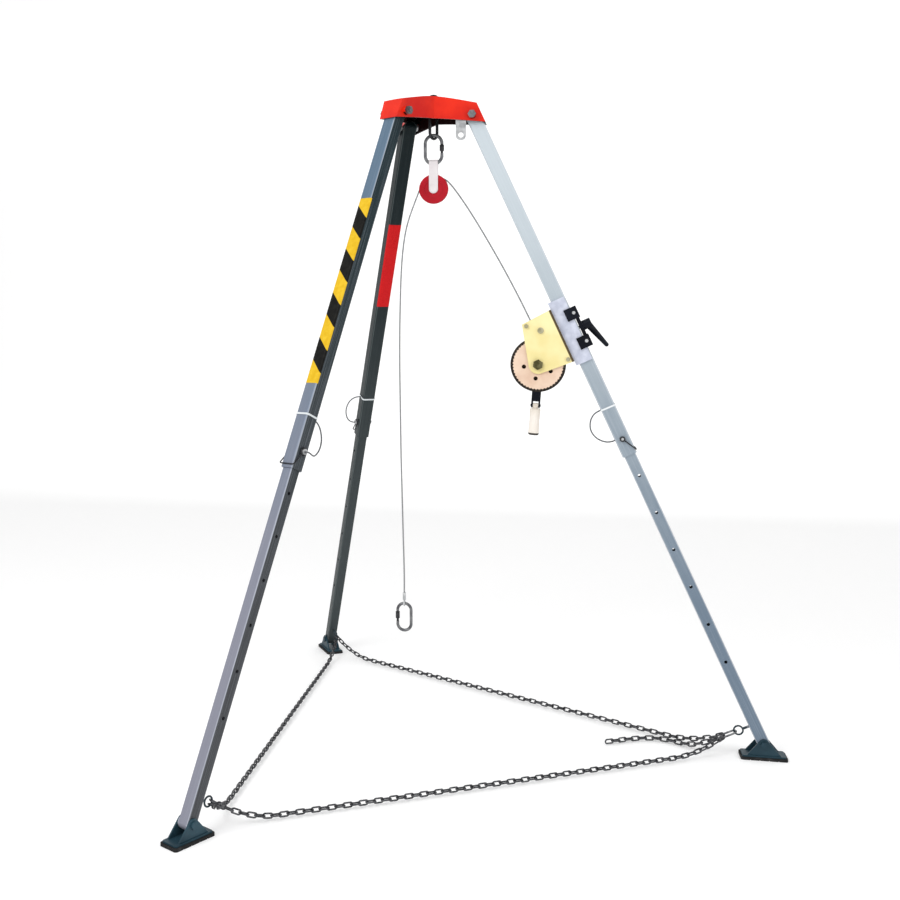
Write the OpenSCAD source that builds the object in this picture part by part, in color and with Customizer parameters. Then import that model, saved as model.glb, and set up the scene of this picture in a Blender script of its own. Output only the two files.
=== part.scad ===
// Rescue tripod: three telescoping legs on a folded head, with a brake winch,
// a lifting line over a pulley and a chain that keeps the feet from spreading.
// Millimetres, +Z up. The floor is z = 0, and the right leg, which carries the winch, points along +X.

/* [Stance] */
// Leg length from the head pivot to the foot pivot
leg_length = 2234; // [2200:1:2400]
// Lean of each leg from upright, in degrees
leg_lean = 24.2; // [22:0.1:27]
// Distance of the head pivots from the middle of the head
pivot_radius = 159; // [150:1:170]
// Height of the foot pivots above the floor
foot_pivot_h = 48; // [44:1:60]

/* [Leg tubes] */
// Outside width of the square upper tube
upper_size = 48; // [46:0.5:52]
// Wall of the upper tube
upper_wall = 4.5; // [3.5:0.5:5]
// Corner radius of the upper tube
upper_fillet = 7; // [5:0.5:9]
// Length of the upper tube below its pivot
upper_length = 1229; // [1180:1:1280]
// Gap on each side between the sliding tubes
slide_gap = 0.5; // [0.3:0.1:0.8]
// Wall of the lower tube
lower_wall = 4; // [3:0.5:5]
// Corner radius of the lower tube
lower_fillet = 5; // [3:0.5:6]
// Length of the lower tube above the lock pin
lower_above_pin = 172; // [150:1:220]
// Lock pin's distance from the end of the upper tube
lock_inset = 57; // [45:1:70]
// Spacing of the lock holes along the lower tube
hole_pitch = 130; // [120:1:130]
// Lock holes below the one in use
hole_steps = 6; // [4:1:6]

/* [Lock pins] */
// Diameter of the lock pin
pin_d = 10; // [8:0.5:12]
// Diameter of the lock pin's head
pin_head_d = 18; // [16:0.5:22]
// Length of the lock pin's head
pin_head_l = 10.7; // [8:0.1:14]
// Length of pin tip that stands out of the tube
pin_tip_l = 9; // [8:0.5:14]
// Wire diameter of the pin's bail
bail_wire = 4; // [3:0.25:4.5]
// Reach of the bail from the pin's axis
bail_reach = 54; // [48:1:64]
// Lanyard cord diameter
lanyard_d = 4.5; // [3:0.25:5]
// Distance of the lanyard's band from the head pivot
band_u = 1061; // [1040:1:1080]
// Height of the lanyard's band
band_h = 6; // [4:0.5:10]
// Thickness of the lanyard's band
band_t = 1.5; // [1:0.25:2.5]

/* [Head] */
// Sheet thickness of the cap
cap_sheet = 5; // [4:0.5:6]
// Height of the cap's flat top above the pivots
cap_rise = 69; // [64:1:80]
// Radius of the cap's flat top
cap_flat_r = 40; // [38:1:50]
// Fall of the cap's roof per millimetre outwards
roof_fall = 0.22; // [0.18:0.01:0.24]
// Drop of the cap's lower edge below the pivots, at the middle
skirt_drop = 4; // [0:0.5:8]
// Fall of the cap's lower edge per millimetre outwards
skirt_fall = 0.1; // [0.06:0.01:0.14]
// Half width of a cap arm at its end
arm_half_w = 34; // [33:0.5:38]
// Radius at which the arm's half width is measured
arm_reach = 205; // [195:1:215]
// Distance from the middle to the inner corners between two arms
inner_corner_r = 70; // [64:1:76]
// Diameter of the leg pivot bolts
pivot_bolt_d = 16; // [14:0.5:18]
// Diameter of the bosses and spacers round the pivot bolts
boss_d = 28; // [24:0.5:32]
// Length of a spacer between leg and cap
spacer_l = 9.4; // [8:0.1:10]
// Outer face of the pivot bosses from the leg's mid plane
boss_out = 47; // [46:0.5:52]

/* [Anchor eyes] */
// Offset of the main eye from the middle, towards the winch
eye_x = 26; // [0:1:28]
// Rod diameter of the main eye
eye_rod = 10; // [8:0.5:12]
// Half width of the main eye, at the middle of its rod
eye_half_w = 20; // [18:0.5:22]
// Straight length of the main eye's sides
eye_straight = 48; // [40:1:60]
// Drop of the main eye's lower bend below the pivots
eye_drop = 68; // [64:1:76]
// Turn of the main eye about its shank, in degrees
eye_turn = 60; // [55:1:90]
// Hole diameter of the spare eye
spare_hole_d = 18; // [14:0.5:20]
// Outside diameter of the spare eye
spare_eye_d = 34; // [30:0.5:40]
// Plate thickness of the spare eye
spare_t = 8; // [6:0.5:10]
// Distance of the spare eye from the middle of the head
spare_radius = 122; // [110:1:130]
// Drop of the spare eye's hole below the pivots
spare_drop = 66; // [58:1:72]

/* [Feet] */
// Length of the rubber sole
sole_l = 142; // [130:1:160]
// Width of the rubber sole
sole_w = 68; // [62:1:80]
// Thickness of the rubber sole
sole_t = 9; // [7:0.5:12]
// Corner radius of the sole
sole_fillet = 8; // [5:0.5:12]
// Margin of rubber round the steel shoe
sole_margin = 5; // [2:0.5:6]
// Plate thickness of the shoe
shoe_t = 5; // [4:0.5:6]
// Radius of the shoe's cheeks round the foot pivot
cheek_r = 17; // [15:0.5:20]
// Diameter of the foot pivot pin
foot_pin_d = 12; // [10:0.5:14]

/* [Chain] */
// Wire diameter of the chain links
chain_wire = 5; // [4.5:0.1:5.2]
// Largest spacing of the chain links
chain_pitch = 24; // [23:0.5:28]
// Inside width of a chain link
chain_gap = 8; // [7.75:0.25:8.5]
// Height of the chain's middle where it lies low over the floor
chain_floor = 14.5; // [14:0.5:17]
// Level distance over which the chain comes down to the floor
hang_reach = 190; // [170:1:220]
// Distance of the chain eyes from the foot pivots
eye_above_foot = 62; // [56:1:75]
// Wire diameter of the chain eyes
ring_wire = 5.5; // [5:0.25:6]
// Radius of the chain eyes, at the middle of the wire
ring_r = 14; // [13.5:0.1:15]
// Reach of the chain eye's middle from the tube's face
ring_reach = 35; // [30:1:40]
// Links at each end of a run that stay with the leg
near_links = 12; // [8:1:16]
// Wire diameter of the joining link
quick_wire = 6; // [5:0.25:6.5]
// Radius of the joining link's bends
quick_r = 14; // [13.5:0.25:16]
// Straight length of the joining link
quick_straight = 20; // [16:1:28]
// Droop of the joining link below the level, in degrees
quick_droop = 25; // [20:1:30]

/* [Winch] */
// Gear module of the winch
gear_module = 3.5; // [3.25:0.25:3.5]
// Teeth of the drum gear
drum_teeth = 48; // [46:1:48]
// Teeth of the pinion
pinion_teeth = 16; // [16:1:18]
// Play between meshing teeth
backlash = 0.6; // [0.5:0.1:0.8]
// Face width of the drum gear
gear_w = 9; // [8:0.5:10]
// Distance of the pinion's axis from the leg's axis
pinion_v = 92; // [88:1:96]
// Distance of the pinion's axis from the head pivot, along the leg
pinion_u = 743; // [740:1:750]
// Direction from the pinion to the drum, in degrees from the leg
drum_bearing = 28.7; // [26:0.1:32]
// Plate thickness of the winch frame
plate_t = 4; // [3:0.5:5]
// Front plate's outer face from the leg's mid plane
front_y = 47; // [46:0.5:50]
// Rear plate's outer face from the leg's mid plane
rear_y = 37; // [36:0.5:40]
// Diameter of the drum axle and the pinion shaft
shaft_d = 20; // [16:0.5:20]
// Width of the drum between its flanges
drum_w = 50; // [49:0.5:52]
// Radius of the drum flanges
flange_r = 62; // [58:1:66]
// Thickness of the drum flanges
flange_t = 3; // [2:0.5:3.5]
// Radius of the outer layer of cable, at the middle of the cable
wind_r = 40; // [38:0.5:44]
// Turns in the outer layer of cable
wind_turns = 8; // [5:1:8]
// Length of the crank from its shaft to its folding pin
crank_l = 252; // [230:1:265]
// Swing of the crank from hanging straight down, towards the middle, in degrees
crank_tilt = 4.5; // [0:0.5:6]
// Width of the crank's bar
crank_w = 30; // [28:1:34]
// Thickness of the crank's bar
crank_t = 8; // [6:0.5:10]
// Diameter of the crank's grip
grip_d = 36; // [32:1:38]
// Length of the crank's grip
grip_l = 90; // [80:1:95]
// Outside radius of the ratchet wheel
ratchet_r = 34; // [32:0.5:36]
// Depth of the ratchet teeth
ratchet_depth = 6; // [5:0.5:7]
// Teeth of the ratchet wheel
ratchet_teeth = 16; // [14:1:18]

/* [Winch bracket] */
// Length of the bracket along the leg
bracket_l = 223; // [215:1:235]
// Distance of the bracket's upper end from the head pivot
bracket_u = 672; // [664:1:676]
// Thickness of the bracket's back
bracket_back = 10.7; // [8:0.1:12]
// Thickness of the bracket's sides
bracket_side = 5.7; // [4:0.1:7]
// Length of one clamp jaw along the leg
jaw_l = 40; // [34:1:44]
// Thickness of the clamp jaw's sides
jaw_side = 6; // [4:0.5:8]
// Outer face of the clamp jaw from the leg's axis
jaw_out = 42; // [38:0.5:46]
// Distance of the clamp lever from the head pivot
lever_u = 784; // [780:1:788]
// Length of the clamp lever's handle
lever_l = 92; // [80:1:100]
// Lift of the clamp lever's handle away from the leg, in degrees
lever_lift = 17; // [12:1:22]

/* [Lifting line] */
// Cable diameter
cable_d = 5; // [4:0.25:5]
// Radius of the sheave's rim
sheave_r = 49; // [48:0.5:52]
// Radius of the cable's middle on the sheave
sheave_line_r = 44; // [43.5:0.5:45]
// Width of the sheave
sheave_w = 12.5; // [11:0.5:13]
// Drop of the sheave's axle below the main eye's lower bend
sheave_drop = 169; // [168:1:176]
// Width of the pulley's strap
strap_w = 30; // [28:1:34]
// Thickness of the pulley's strap
strap_t = 3; // [2.5:0.25:4]
// Diameter of the sheave's axle
axle_d = 16; // [12:0.5:18]
// Rod diameter of the pulley's carabiner
carabiner_rod = 11; // [10:0.25:11]
// Radius of the carabiner's bends, at the middle of its rod
carabiner_r = 28; // [27:0.5:30]
// Straight length of the carabiner's sides
carabiner_straight = 40; // [38:1:46]
// Rod diameter of the hook
hook_rod = 10; // [9:0.25:10]
// Radius of the hook's bends, at the middle of its rod
hook_r = 23; // [22:0.5:25]
// Straight length of the hook's sides
hook_straight = 46; // [42:1:50]
// Length of the ferrule on the cable's end
ferrule_l = 25; // [20:1:30]
// Diameter of the ferrule on the cable's end
ferrule_d = 11; // [9:0.5:13]

/* [Hidden] */
$fn = 48;
// Clearances: a turning fit, a seat between pieces that move apart, and a loose fit round the lock pins
fit = 0.05;
seat = 0.3;
loose = 0.3;
// Leg directions round the head
RIGHT = 0;
BACK = 120;
LEFT = 240;

lower_size = upper_size - 2 * upper_wall - 2 * slide_gap;
pivot_h = foot_pivot_h + leg_length * cos(leg_lean);
foot_radius = pivot_radius + leg_length * sin(leg_lean);
lock_u = upper_length - lock_inset;
chain_eye_u = leg_length - eye_above_foot;
ring_x = -lower_size / 2 - ring_reach;

// The middle of the floor area is the origin, so the head's axis lies off it along X
front_reach = foot_radius + sole_l / 2;
back_reach = foot_radius / 2 + (sole_l / 2 - sole_fillet) * cos(60)
    + (sole_w / 2 - sole_fillet) * sin(60) + sole_fillet;
axis_x = (back_reach - front_reach) / 2;

// Radius and height of a point at x outwards from a leg's axis and u down the leg
function leg_point(x, u) = [
    pivot_radius + u * sin(leg_lean) + x * cos(leg_lean),
    pivot_h - u * cos(leg_lean) + x * sin(leg_lean)
];

// Places along the winch leg, as x outwards and z up in the leg's own frame
pinion_at = [-pinion_v, -pinion_u];
centre_distance = gear_module * (drum_teeth + pinion_teeth) / 2;
drum_at = pinion_at + centre_distance * [-sin(drum_bearing), -cos(drum_bearing)];
mesh_angle = atan2(drum_at[1] - pinion_at[1], drum_at[0] - pinion_at[0]);
bracket_face = upper_size / 2 + seat + bracket_back;
drum_world = leg_point(drum_at[0], -drum_at[1]);
pinion_world = leg_point(-pinion_v, pinion_u);

// Heights of the lifting line's pieces
eye_bend_h = pivot_h - eye_drop;
hang_gap = eye_rod / 2 + carabiner_rod / 2 + 0.9;
carabiner_h = eye_bend_h + hang_gap - carabiner_r - carabiner_straight / 2;
sheave_h = eye_bend_h - sheave_drop;
strap_half = sheave_w / 2 + 0.6;
strap_rest = sqrt(pow(carabiner_r - carabiner_rod / 2, 2) - pow(strap_w / 2, 2));
strap_top = carabiner_h - carabiner_straight / 2 - strap_rest + seat + strap_t;
thimble_r = 10;
thimble_wire = 5;

// Cable route over the sheave, as x from the head's axis, y and height
lift_points = [
    [376, -21, 1341], [343, -20, 1410], [309, -18, 1480], [272, -15, 1552], [233, -12, 1624],
    [192, -8, 1696], [150, -5, 1766], [114, -3, 1821], [87, -1, 1858], [67, 0, 1878]
];
// Angles at which the cable lies in the sheave's groove
groove_angles = [for (k = [0:12]) 65 + k * 7.75];
// Cable route down to the hook
hang_points = [
    [-39, 0, 1804], [-58, 0, 1752], [-71, 0, 1702], [-80, 0, 1640], [-86, 0, 1560], [-89, 0, 1480],
    [-91, 0, 1400], [-92, 0, 1310], [-92, 0, 1220], [-91, 0, 1130], [-90, 0, 1040], [-89, 0, 950],
    [-87, 0, 860], [-85, 0, 770], [-83, 0, 680], [-81, 0, 600], [-80, 0, 540]
];
hook_x = -80;
ferrule_top = 480;

// Lanyard routes in a leg's frame: x outwards, y sideways, u below the band. The loop hangs inwards,
// and on the back leg to the side of the pin's head
inward_loop = [
    [-34, 0, 0], [-48, 1, 3], [-62, 3, 12], [-73, 5, 26], [-80, 8, 44], [-80, 12, 62],
    [-74, 17, 80], [-63, 23, 95], [-49, 30, 106], [-35, 37, 111], [-21, 43, 112], [-8, 45, 111]
];
sideways_loop = [
    [1, 34, 0], [2, 48, 3], [3, 60, 11], [4, 70, 25], [4, 76, 43], [4, 77, 61],
    [3, 74, 79], [2, 67, 95], [1, 56, 106]
];

// Spare end of the chain: from the joining link down to the floor and along it
tail_points = [
    [930, 0, 49.5], [908, 3, 38.5], [886, 10, 28], [865, 21, 19.5], [845, 35, 13.5], [824, 50, 11],
    [800, 64, 11], [775, 74, 11], [748, 78, 11], [718, 74, 11], [686, 63, 11], [650, 46, 11],
    [612, 25, 11], [576, 5, 11]
];

// Frames

// A frame turned to one leg's direction, on the head's axis at the floor
module toward(direction) {
    translate([axis_x, 0, 0]) rotate([0, 0, direction]) children();
}

// A leg's frame: origin at the head pivot, x outwards, y sideways, z up along the leg
module on_leg(direction) {
    toward(direction) translate([pivot_radius, 0, pivot_h]) rotate([0, -leg_lean, 0]) children();
}

// A round bar along y at the place [x, z]
module bar_y(at, y0, y1, r) {
    translate([at[0], y0, at[1]]) rotate([-90, 0, 0]) cylinder(h = y1 - y0, r = r);
}

// A hexagonal bar along y at the place [x, z]
module hex_y(at, y0, y1, flats) {
    translate([at[0], y0, at[1]]) rotate([-90, 0, 0]) cylinder(h = y1 - y0, r = flats / sqrt(3), $fn = 6);
}

// A flat shape in the x and z plane, as thick as from y0 to y1
module slab_y(y0, y1) {
    translate([0, y1, 0]) rotate([90, 0, 0]) linear_extrude(y1 - y0) children();
}

// Shapes

module rounded_rect(l, w, r) {
    square([l, w - 2 * r], center = true);
    square([l - 2 * r, w], center = true);
    for (x = [-1, 1], y = [-1, 1])
        translate([x * (l / 2 - r), y * (w / 2 - r)]) circle(r);
}

// Part of a ring of round wire in the x and z plane
module bend(r, wire, start, sweep) {
    rotate([90, 0, 0]) rotate([0, 0, start])
        rotate_extrude(angle = sweep) translate([r, 0]) circle(wire / 2);
}

// An upright oval of round wire in the x and z plane
module wire_oval(r, straight, wire) {
    translate([0, 0, straight / 2]) bend(r, wire, 0, 180);
    translate([0, 0, -straight / 2]) bend(r, wire, 180, 180);
    for (side = [-1, 1])
        translate([side * r, 0, -straight / 2]) cylinder(h = straight, r = wire / 2);
}

// Point where a line from q touches the circle at c; side is 1 or -1
function touch_point(q, c, r, side) =
    let (d = q - c, reach = norm(d), turn = atan2(d[1], d[0]) + side * acos(r / reach))
    c + r * [cos(turn), sin(turn)];

// Involute gear outline; half_angle is half a tooth's angle at radius rho
function involute(rho, base) = let (a = acos(min(1, base / rho))) tan(a) - a * PI / 180;
function half_angle(rho, teeth) =
    let (pitch_r = gear_module * teeth / 2, base = pitch_r * cos(20))
    (PI * gear_module / 2 - backlash) / 2 / pitch_r * 180 / PI
    + (involute(pitch_r, base) - involute(max(rho, base), base)) * 180 / PI;
function gear_outline(teeth) =
    let (
        pitch_r = gear_module * teeth / 2,
        root = pitch_r - 1.3 * gear_module,
        tip = pitch_r + 0.9 * gear_module,
        low = max(root + 0.4, pitch_r * cos(20)),
        radii = concat([root], [for (i = [0:4]) low + (tip - low) * i / 4])
    )
    [for (k = [0:teeth - 1], side = [-1, 1], i = [0:len(radii) - 1])
        let (rho = side < 0 ? radii[i] : radii[len(radii) - 1 - i])
        rho * [cos(k * 360 / teeth + side * half_angle(rho, teeth)),
            sin(k * 360 / teeth + side * half_angle(rho, teeth))]];

// A tube along a route: rings of points square to the route, closed at both ends
function unit(v) = v / norm(v);
function tangent(route, i) = unit(route[min(i + 1, len(route) - 1)] - route[max(i - 1, 0)]);
function ring_at(route, i, r, sides, up) =
    let (t = tangent(route, i), a = unit(cross(t, up)), b = cross(t, a))
    [for (k = [0:sides - 1]) route[i] + r * (cos(k * 360 / sides) * a + sin(k * 360 / sides) * b)];
module tube(route, d, sides, up) {
    last = len(route) - 1;
    corners = [for (i = [0:last], p = ring_at(route, i, d / 2, sides, up)) p];
    walls = [for (i = [0:last - 1], k = [0:sides - 1], half = [0, 1])
        let (a = i * sides + k, b = i * sides + (k + 1) % sides)
        half == 0 ? [a, a + sides, b] : [b, a + sides, b + sides]];
    start_cap = [for (k = [1:sides - 2]) [0, k, k + 1]];
    end_cap = [for (k = [1:sides - 2]) [last * sides, last * sides + k + 1, last * sides + k]];
    polyhedron(corners, concat(walls, start_cap, end_cap));
}

// Head

// Taper of an arm's side walls and the star outline, drawn in by the distance t
arm_taper = atan((inner_corner_r * sin(60) - arm_half_w) / (arm_reach - inner_corner_r * cos(60)));
function star(t) =
    let (
        corner = inner_corner_r - t / sin(60 + arm_taper),
        half_w = arm_half_w - t / cos(arm_taper),
        far = arm_reach + 40,
        far_half_w = half_w - 40 * tan(arm_taper)
    )
    [for (a = [RIGHT, BACK, LEFT], p = [[far, -far_half_w], [far, far_half_w],
        corner * [cos(60), sin(60)]])
        [p[0] * cos(a) - p[1] * sin(a), p[0] * sin(a) + p[1] * cos(a)]];

// The space under a roof at the given drop below the cap's roof
module under_roof(drop, low) {
    far = arm_reach + 60;
    roof = pivot_h + cap_rise - drop;
    skirt = pivot_h - skirt_drop - low;
    rotate_extrude() polygon([
        [0, skirt], [far, skirt - skirt_fall * far],
        [far, roof - roof_fall * (far - cap_flat_r)], [cap_flat_r, roof], [0, roof]
    ]);
}

// Everything beyond the end walls of the arms, from the distance x outside the leg's axis
module beyond_ends(x) {
    for (a = [RIGHT, BACK, LEFT])
        rotate([0, 0, a]) translate([pivot_radius, 0, pivot_h]) rotate([0, -leg_lean, 0])
            translate([x, -150, -300]) cube([300, 300, 600]);
}

module cap_shell(t, low) {
    difference() {
        intersection() {
            translate([0, 0, pivot_h - 200]) linear_extrude(400) polygon(star(t));
            under_roof(t, low);
        }
        beyond_ends(upper_size / 2 + seat + cap_sheet - t);
    }
}

module head_cap() {
    boss_in = upper_size / 2 + seat + spacer_l;
    color([0.85, 0.1, 0.05]) toward(RIGHT) difference() {
        union() {
            difference() {
                cap_shell(0, 0);
                cap_shell(cap_sheet, 100);
            }
            for (a = [RIGHT, BACK, LEFT], side = [-1, 1])
                rotate([0, 0, a]) bar_y([pivot_radius, pivot_h],
                    min(side * boss_in, side * boss_out), max(side * boss_in, side * boss_out), boss_d / 2);
        }
        for (a = [RIGHT, BACK, LEFT])
            rotate([0, 0, a]) bar_y([pivot_radius, pivot_h], -100, 100, pivot_bolt_d / 2 + fit);
        translate([eye_x, 0, pivot_h]) cylinder(h = cap_rise + 10, r = eye_rod * 0.8 + fit);
    }
}

// Bolts with a hexagonal head at the front and a nut at the rear
module leg_pivot_bolts() {
    head_h = 9;
    nut_h = 12;
    color([0.6, 0.62, 0.65])
        for (a = [RIGHT, BACK, LEFT]) toward(a) {
            at = [pivot_radius, pivot_h];
            bar_y(at, -boss_out, boss_out + nut_h + 3, pivot_bolt_d / 2);
            hex_y(at, -boss_out - head_h, -boss_out, pivot_bolt_d * 1.5);
            difference() {
                hex_y(at, boss_out, boss_out + nut_h, pivot_bolt_d * 1.5);
                bar_y(at, boss_out - 1, boss_out + nut_h + 1, pivot_bolt_d / 2 + fit);
            }
        }
}

module pivot_spacers() {
    inner = upper_size / 2 + seat;
    color([0.75, 0.75, 0.72])
        for (a = [RIGHT, BACK, LEFT], side = [-1, 1]) toward(a) difference() {
            bar_y([pivot_radius, pivot_h], side > 0 ? inner : -inner - spacer_l,
                side > 0 ? inner + spacer_l : -inner, boss_d / 2);
            bar_y([pivot_radius, pivot_h], -100, 100, pivot_bolt_d / 2 + fit);
        }
}

eye_nut_h = 7;
shank_r = eye_rod * 0.8;
module main_eye() {
    shank_low = 2 * eye_half_w + eye_straight - eye_drop;
    color([0.25, 0.26, 0.28]) toward(RIGHT) translate([eye_x, 0, pivot_h]) {
        translate([0, 0, eye_half_w + eye_straight / 2 - eye_drop]) rotate([0, 0, eye_turn])
            wire_oval(eye_half_w, eye_straight, eye_rod);
        translate([0, 0, shank_low]) cylinder(h = cap_rise + eye_nut_h + 2 - shank_low, r = shank_r);
    }
}

module main_eye_nut() {
    color([0.2, 0.2, 0.22]) toward(RIGHT) translate([eye_x, 0, pivot_h + cap_rise]) difference() {
        cylinder(h = eye_nut_h, r = shank_r * 1.75, $fn = 6);
        translate([0, 0, -1]) cylinder(h = eye_nut_h + 2, r = shank_r + fit);
    }
}

// Lug against the inside of the right arm's front wall
module spare_eye() {
    wall_y = arm_half_w + (arm_reach - spare_radius) * tan(arm_taper) - cap_sheet / cos(arm_taper) - 0.1;
    lug_top = 20;
    color([0.86, 0.87, 0.88]) toward(RIGHT) translate([spare_radius, -wall_y, pivot_h - spare_drop])
        rotate([0, 0, arm_taper]) difference() {
            slab_y(0, spare_t) {
                circle(spare_eye_d / 2);
                translate([-spare_eye_d / 2, 0]) square([spare_eye_d, spare_drop + lug_top]);
            }
            bar_y([0, 0], -1, spare_t + 1, spare_hole_d / 2);
        }
}

// Legs

knuckle_plug = 40;
module upper_leg(direction) {
    inside = upper_size - 2 * upper_wall;
    color([0.68, 0.72, 0.76]) on_leg(direction) difference() {
        union() {
            translate([0, 0, -upper_length]) linear_extrude(upper_length)
                rounded_rect(upper_size, upper_size, upper_fillet);
            bar_y([0, 0], -upper_size / 2, upper_size / 2, upper_size / 2);
        }
        translate([0, 0, -upper_length - 1]) linear_extrude(upper_length + 1 - knuckle_plug)
            rounded_rect(inside, inside, max(1, upper_fillet - upper_wall));
        bar_y([0, 0], -upper_size, upper_size, pivot_bolt_d / 2 + fit);
        bar_y([0, -lock_u], -upper_size, upper_size, pin_d / 2 + fit);
    }
}

foot_plug = 60;
module lower_leg(direction) {
    inside = lower_size - 2 * lower_wall;
    top_u = lock_u - lower_above_pin;
    rod_r = ring_wire * 0.7;
    color([0.66, 0.7, 0.74]) on_leg(direction) difference() {
        union() {
            translate([0, 0, -leg_length]) linear_extrude(leg_length - top_u)
                rounded_rect(lower_size, lower_size, lower_fillet);
            bar_y([0, -leg_length], -lower_size / 2, lower_size / 2, lower_size / 2);
            translate([ring_x, 0, -chain_eye_u]) {
                bend(ring_r, ring_wire, 0, 360);
                translate([ring_r, 0, 0]) rotate([0, 90, 0])
                    cylinder(h = ring_reach - ring_r + 1, r = rod_r);
            }
        }
        translate([0, 0, -leg_length + foot_plug]) linear_extrude(leg_length)
            rounded_rect(inside, inside, max(1, lower_fillet - lower_wall));
        bar_y([0, -leg_length], -lower_size, lower_size, foot_pin_d / 2 + fit);
        for (k = [-1:hole_steps])
            bar_y([0, -lock_u - k * hole_pitch], -lower_size, lower_size, pin_d / 2 + loose);
    }
}

pin_head_y = upper_size / 2 + seat;
module lock_pin(direction) {
    tip_y = -upper_size / 2 - pin_tip_l;
    point = 2;
    color([0.7, 0.7, 0.72]) on_leg(direction) {
        bar_y([0, -lock_u], tip_y + point, pin_head_y + 1, pin_d / 2);
        bar_y([0, -lock_u], pin_head_y, pin_head_y + pin_head_l, pin_head_d / 2);
        translate([0, tip_y, -lock_u]) rotate([-90, 0, 0])
            cylinder(h = point, r1 = pin_d / 2 - 1.2, r2 = pin_d / 2);
    }
}

// Sprung wire that goes round the tube's outer face from the pin's head to its tip
module pin_bail(direction) {
    out = upper_size / 2 + bail_wire / 2 + 0.6;
    droop = acos(out / bail_reach);
    side_y = upper_size / 2 + bail_wire / 2 + 3;
    corner = 6;
    head_ring = pin_head_d / 2 + bail_wire / 2 + seat;
    tip_ring = pin_d / 2 + bail_wire / 2 + seat;
    color([0.12, 0.13, 0.15]) on_leg(direction) translate([0, 0, -lock_u]) rotate([0, droop, 0]) {
        translate([0, side_y, 0]) bend(head_ring, bail_wire, 0, 360);
        translate([0, -side_y, 0]) bend(tip_ring, bail_wire, 0, 360);
        for (side = [[side_y, head_ring], [-side_y, tip_ring]])
            translate([side[1], side[0], 0]) rotate([0, 90, 0])
                cylinder(h = bail_reach - corner - side[1], r = bail_wire / 2);
        for (turn = [0, 1])
            translate([bail_reach - corner, (turn * 2 - 1) * (side_y - corner), 0])
                rotate([0, 0, turn * 90 - 90])
                    rotate_extrude(angle = 90) translate([corner, 0]) circle(bail_wire / 2);
        bar_y([bail_reach, 0], corner - side_y, side_y - corner, bail_wire / 2);
    }
}

module pin_lanyard(direction) {
    face = upper_size / 2 + band_t + 0.1;
    end_y = pin_head_y + pin_head_l + seat;
    sideways = direction == BACK;
    route = concat(
        [sideways ? [0, face + seat, 0] : [-face - seat, 0, 0]],
        sideways ? sideways_loop : inward_loop,
        [[0, end_y + 7, lock_u - band_u], [0, end_y, lock_u - band_u]]
    );
    color([0.75, 0.75, 0.76]) on_leg(direction) translate([0, 0, -band_u]) {
        translate([0, 0, -band_h / 2]) linear_extrude(band_h) difference() {
            rounded_rect(2 * face, 2 * face, upper_fillet + band_t);
            rounded_rect(upper_size + 0.2, upper_size + 0.2, upper_fillet);
        }
        tube([for (p = route) [p[0], p[1], -p[2]]], lanyard_d, 8, [1, -1, 0.3]);
    }
}

// Feet

module foot_shoe(direction) {
    gap = lower_size / 2 + 0.5;
    outer = gap + shoe_t;
    base_l = sole_l - 2 * sole_margin;
    base_top = sole_t + shoe_t;
    toe = base_l / 2 - 14;
    at = [0, foot_pivot_h];
    color([0.16, 0.27, 0.33]) toward(direction) translate([foot_radius, 0, 0]) {
        difference() {
            union() {
                translate([0, 0, sole_t]) linear_extrude(shoe_t)
                    rounded_rect(base_l, sole_w - 2 * sole_margin, sole_fillet - 2);
                for (side = [-outer, gap]) slab_y(side, side + shoe_t) {
                    polygon([[-toe, base_top - 1], [toe, base_top - 1],
                        touch_point([toe, base_top + 6], at, cheek_r, 1),
                        touch_point([-toe, base_top + 6], at, cheek_r, -1)]);
                    translate(at) circle(cheek_r);
                }
            }
            bar_y(at, -outer - 1, outer + 1, foot_pin_d / 2 - 1);
        }
        bar_y(at, -outer, outer, foot_pin_d / 2);
        for (side = [-outer - 6, outer]) hex_y(at, side, side + 6, foot_pin_d * 1.6);
    }
}

module foot_sole(direction) {
    groove = 4;
    color([0.08, 0.08, 0.08]) toward(direction) translate([foot_radius, 0, 0]) difference() {
        linear_extrude(sole_t) rounded_rect(sole_l, sole_w, sole_fillet);
        for (x = [-1.5:1:1.5])
            translate([x * sole_l / 5 - groove / 2, -sole_w, -1]) cube([groove, 2 * sole_w, 3]);
    }
}

// Chain

link_r = (chain_gap + chain_wire) / 2;
link_slack = 0.4;
module chain_link(spacing) {
    rotate([0, 90, 0]) wire_oval(link_r, spacing + link_slack - chain_gap, chain_wire);
}

// One link between two joints: even ones stand upright, and odd ones lie flat
module link_between(a, b, number) {
    d = b - a;
    translate((a + b) / 2) rotate([0, -asin(d[2] / norm(d)), atan2(d[1], d[0])])
        rotate([90 * (number % 2), 0, 0]) chain_link(norm(d));
}

function turned(p, direction) = [
    p[0] * cos(direction) - p[1] * sin(direction), p[0] * sin(direction) + p[1] * cos(direction), p[2]
];
ring_place = leg_point(ring_x, chain_eye_u);
function ring_centre(direction) = turned([ring_place[0], 0, ring_place[1]], direction);

// The joining link hangs tilted in the right leg's eye
quick_way = [-cos(quick_droop), 0, -sin(quick_droop)];
quick_hook = ring_centre(RIGHT) + (ring_r - ring_wire / 2 - quick_wire / 2 - seat) * quick_way;
quick_inner = quick_hook + (quick_r + quick_straight) * quick_way;

// The way in which a run leaves one place for another, falling towards the floor
function leaving(from, to) =
    let (d = to - from)
    unit(unit([d[0], d[1], 0]) - [0, 0, 2 * (from[2] - chain_floor) / hang_reach]);

// Joints in the joining link's inner bend and in a leg's eye, for a run that leaves on the given way
function quick_joint(bearing, way) =
    quick_inner + quick_r * (cos(bearing) * quick_way + sin(bearing) * [0, 1, 0])
    - (quick_wire / 2 + link_slack) * way;
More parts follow.
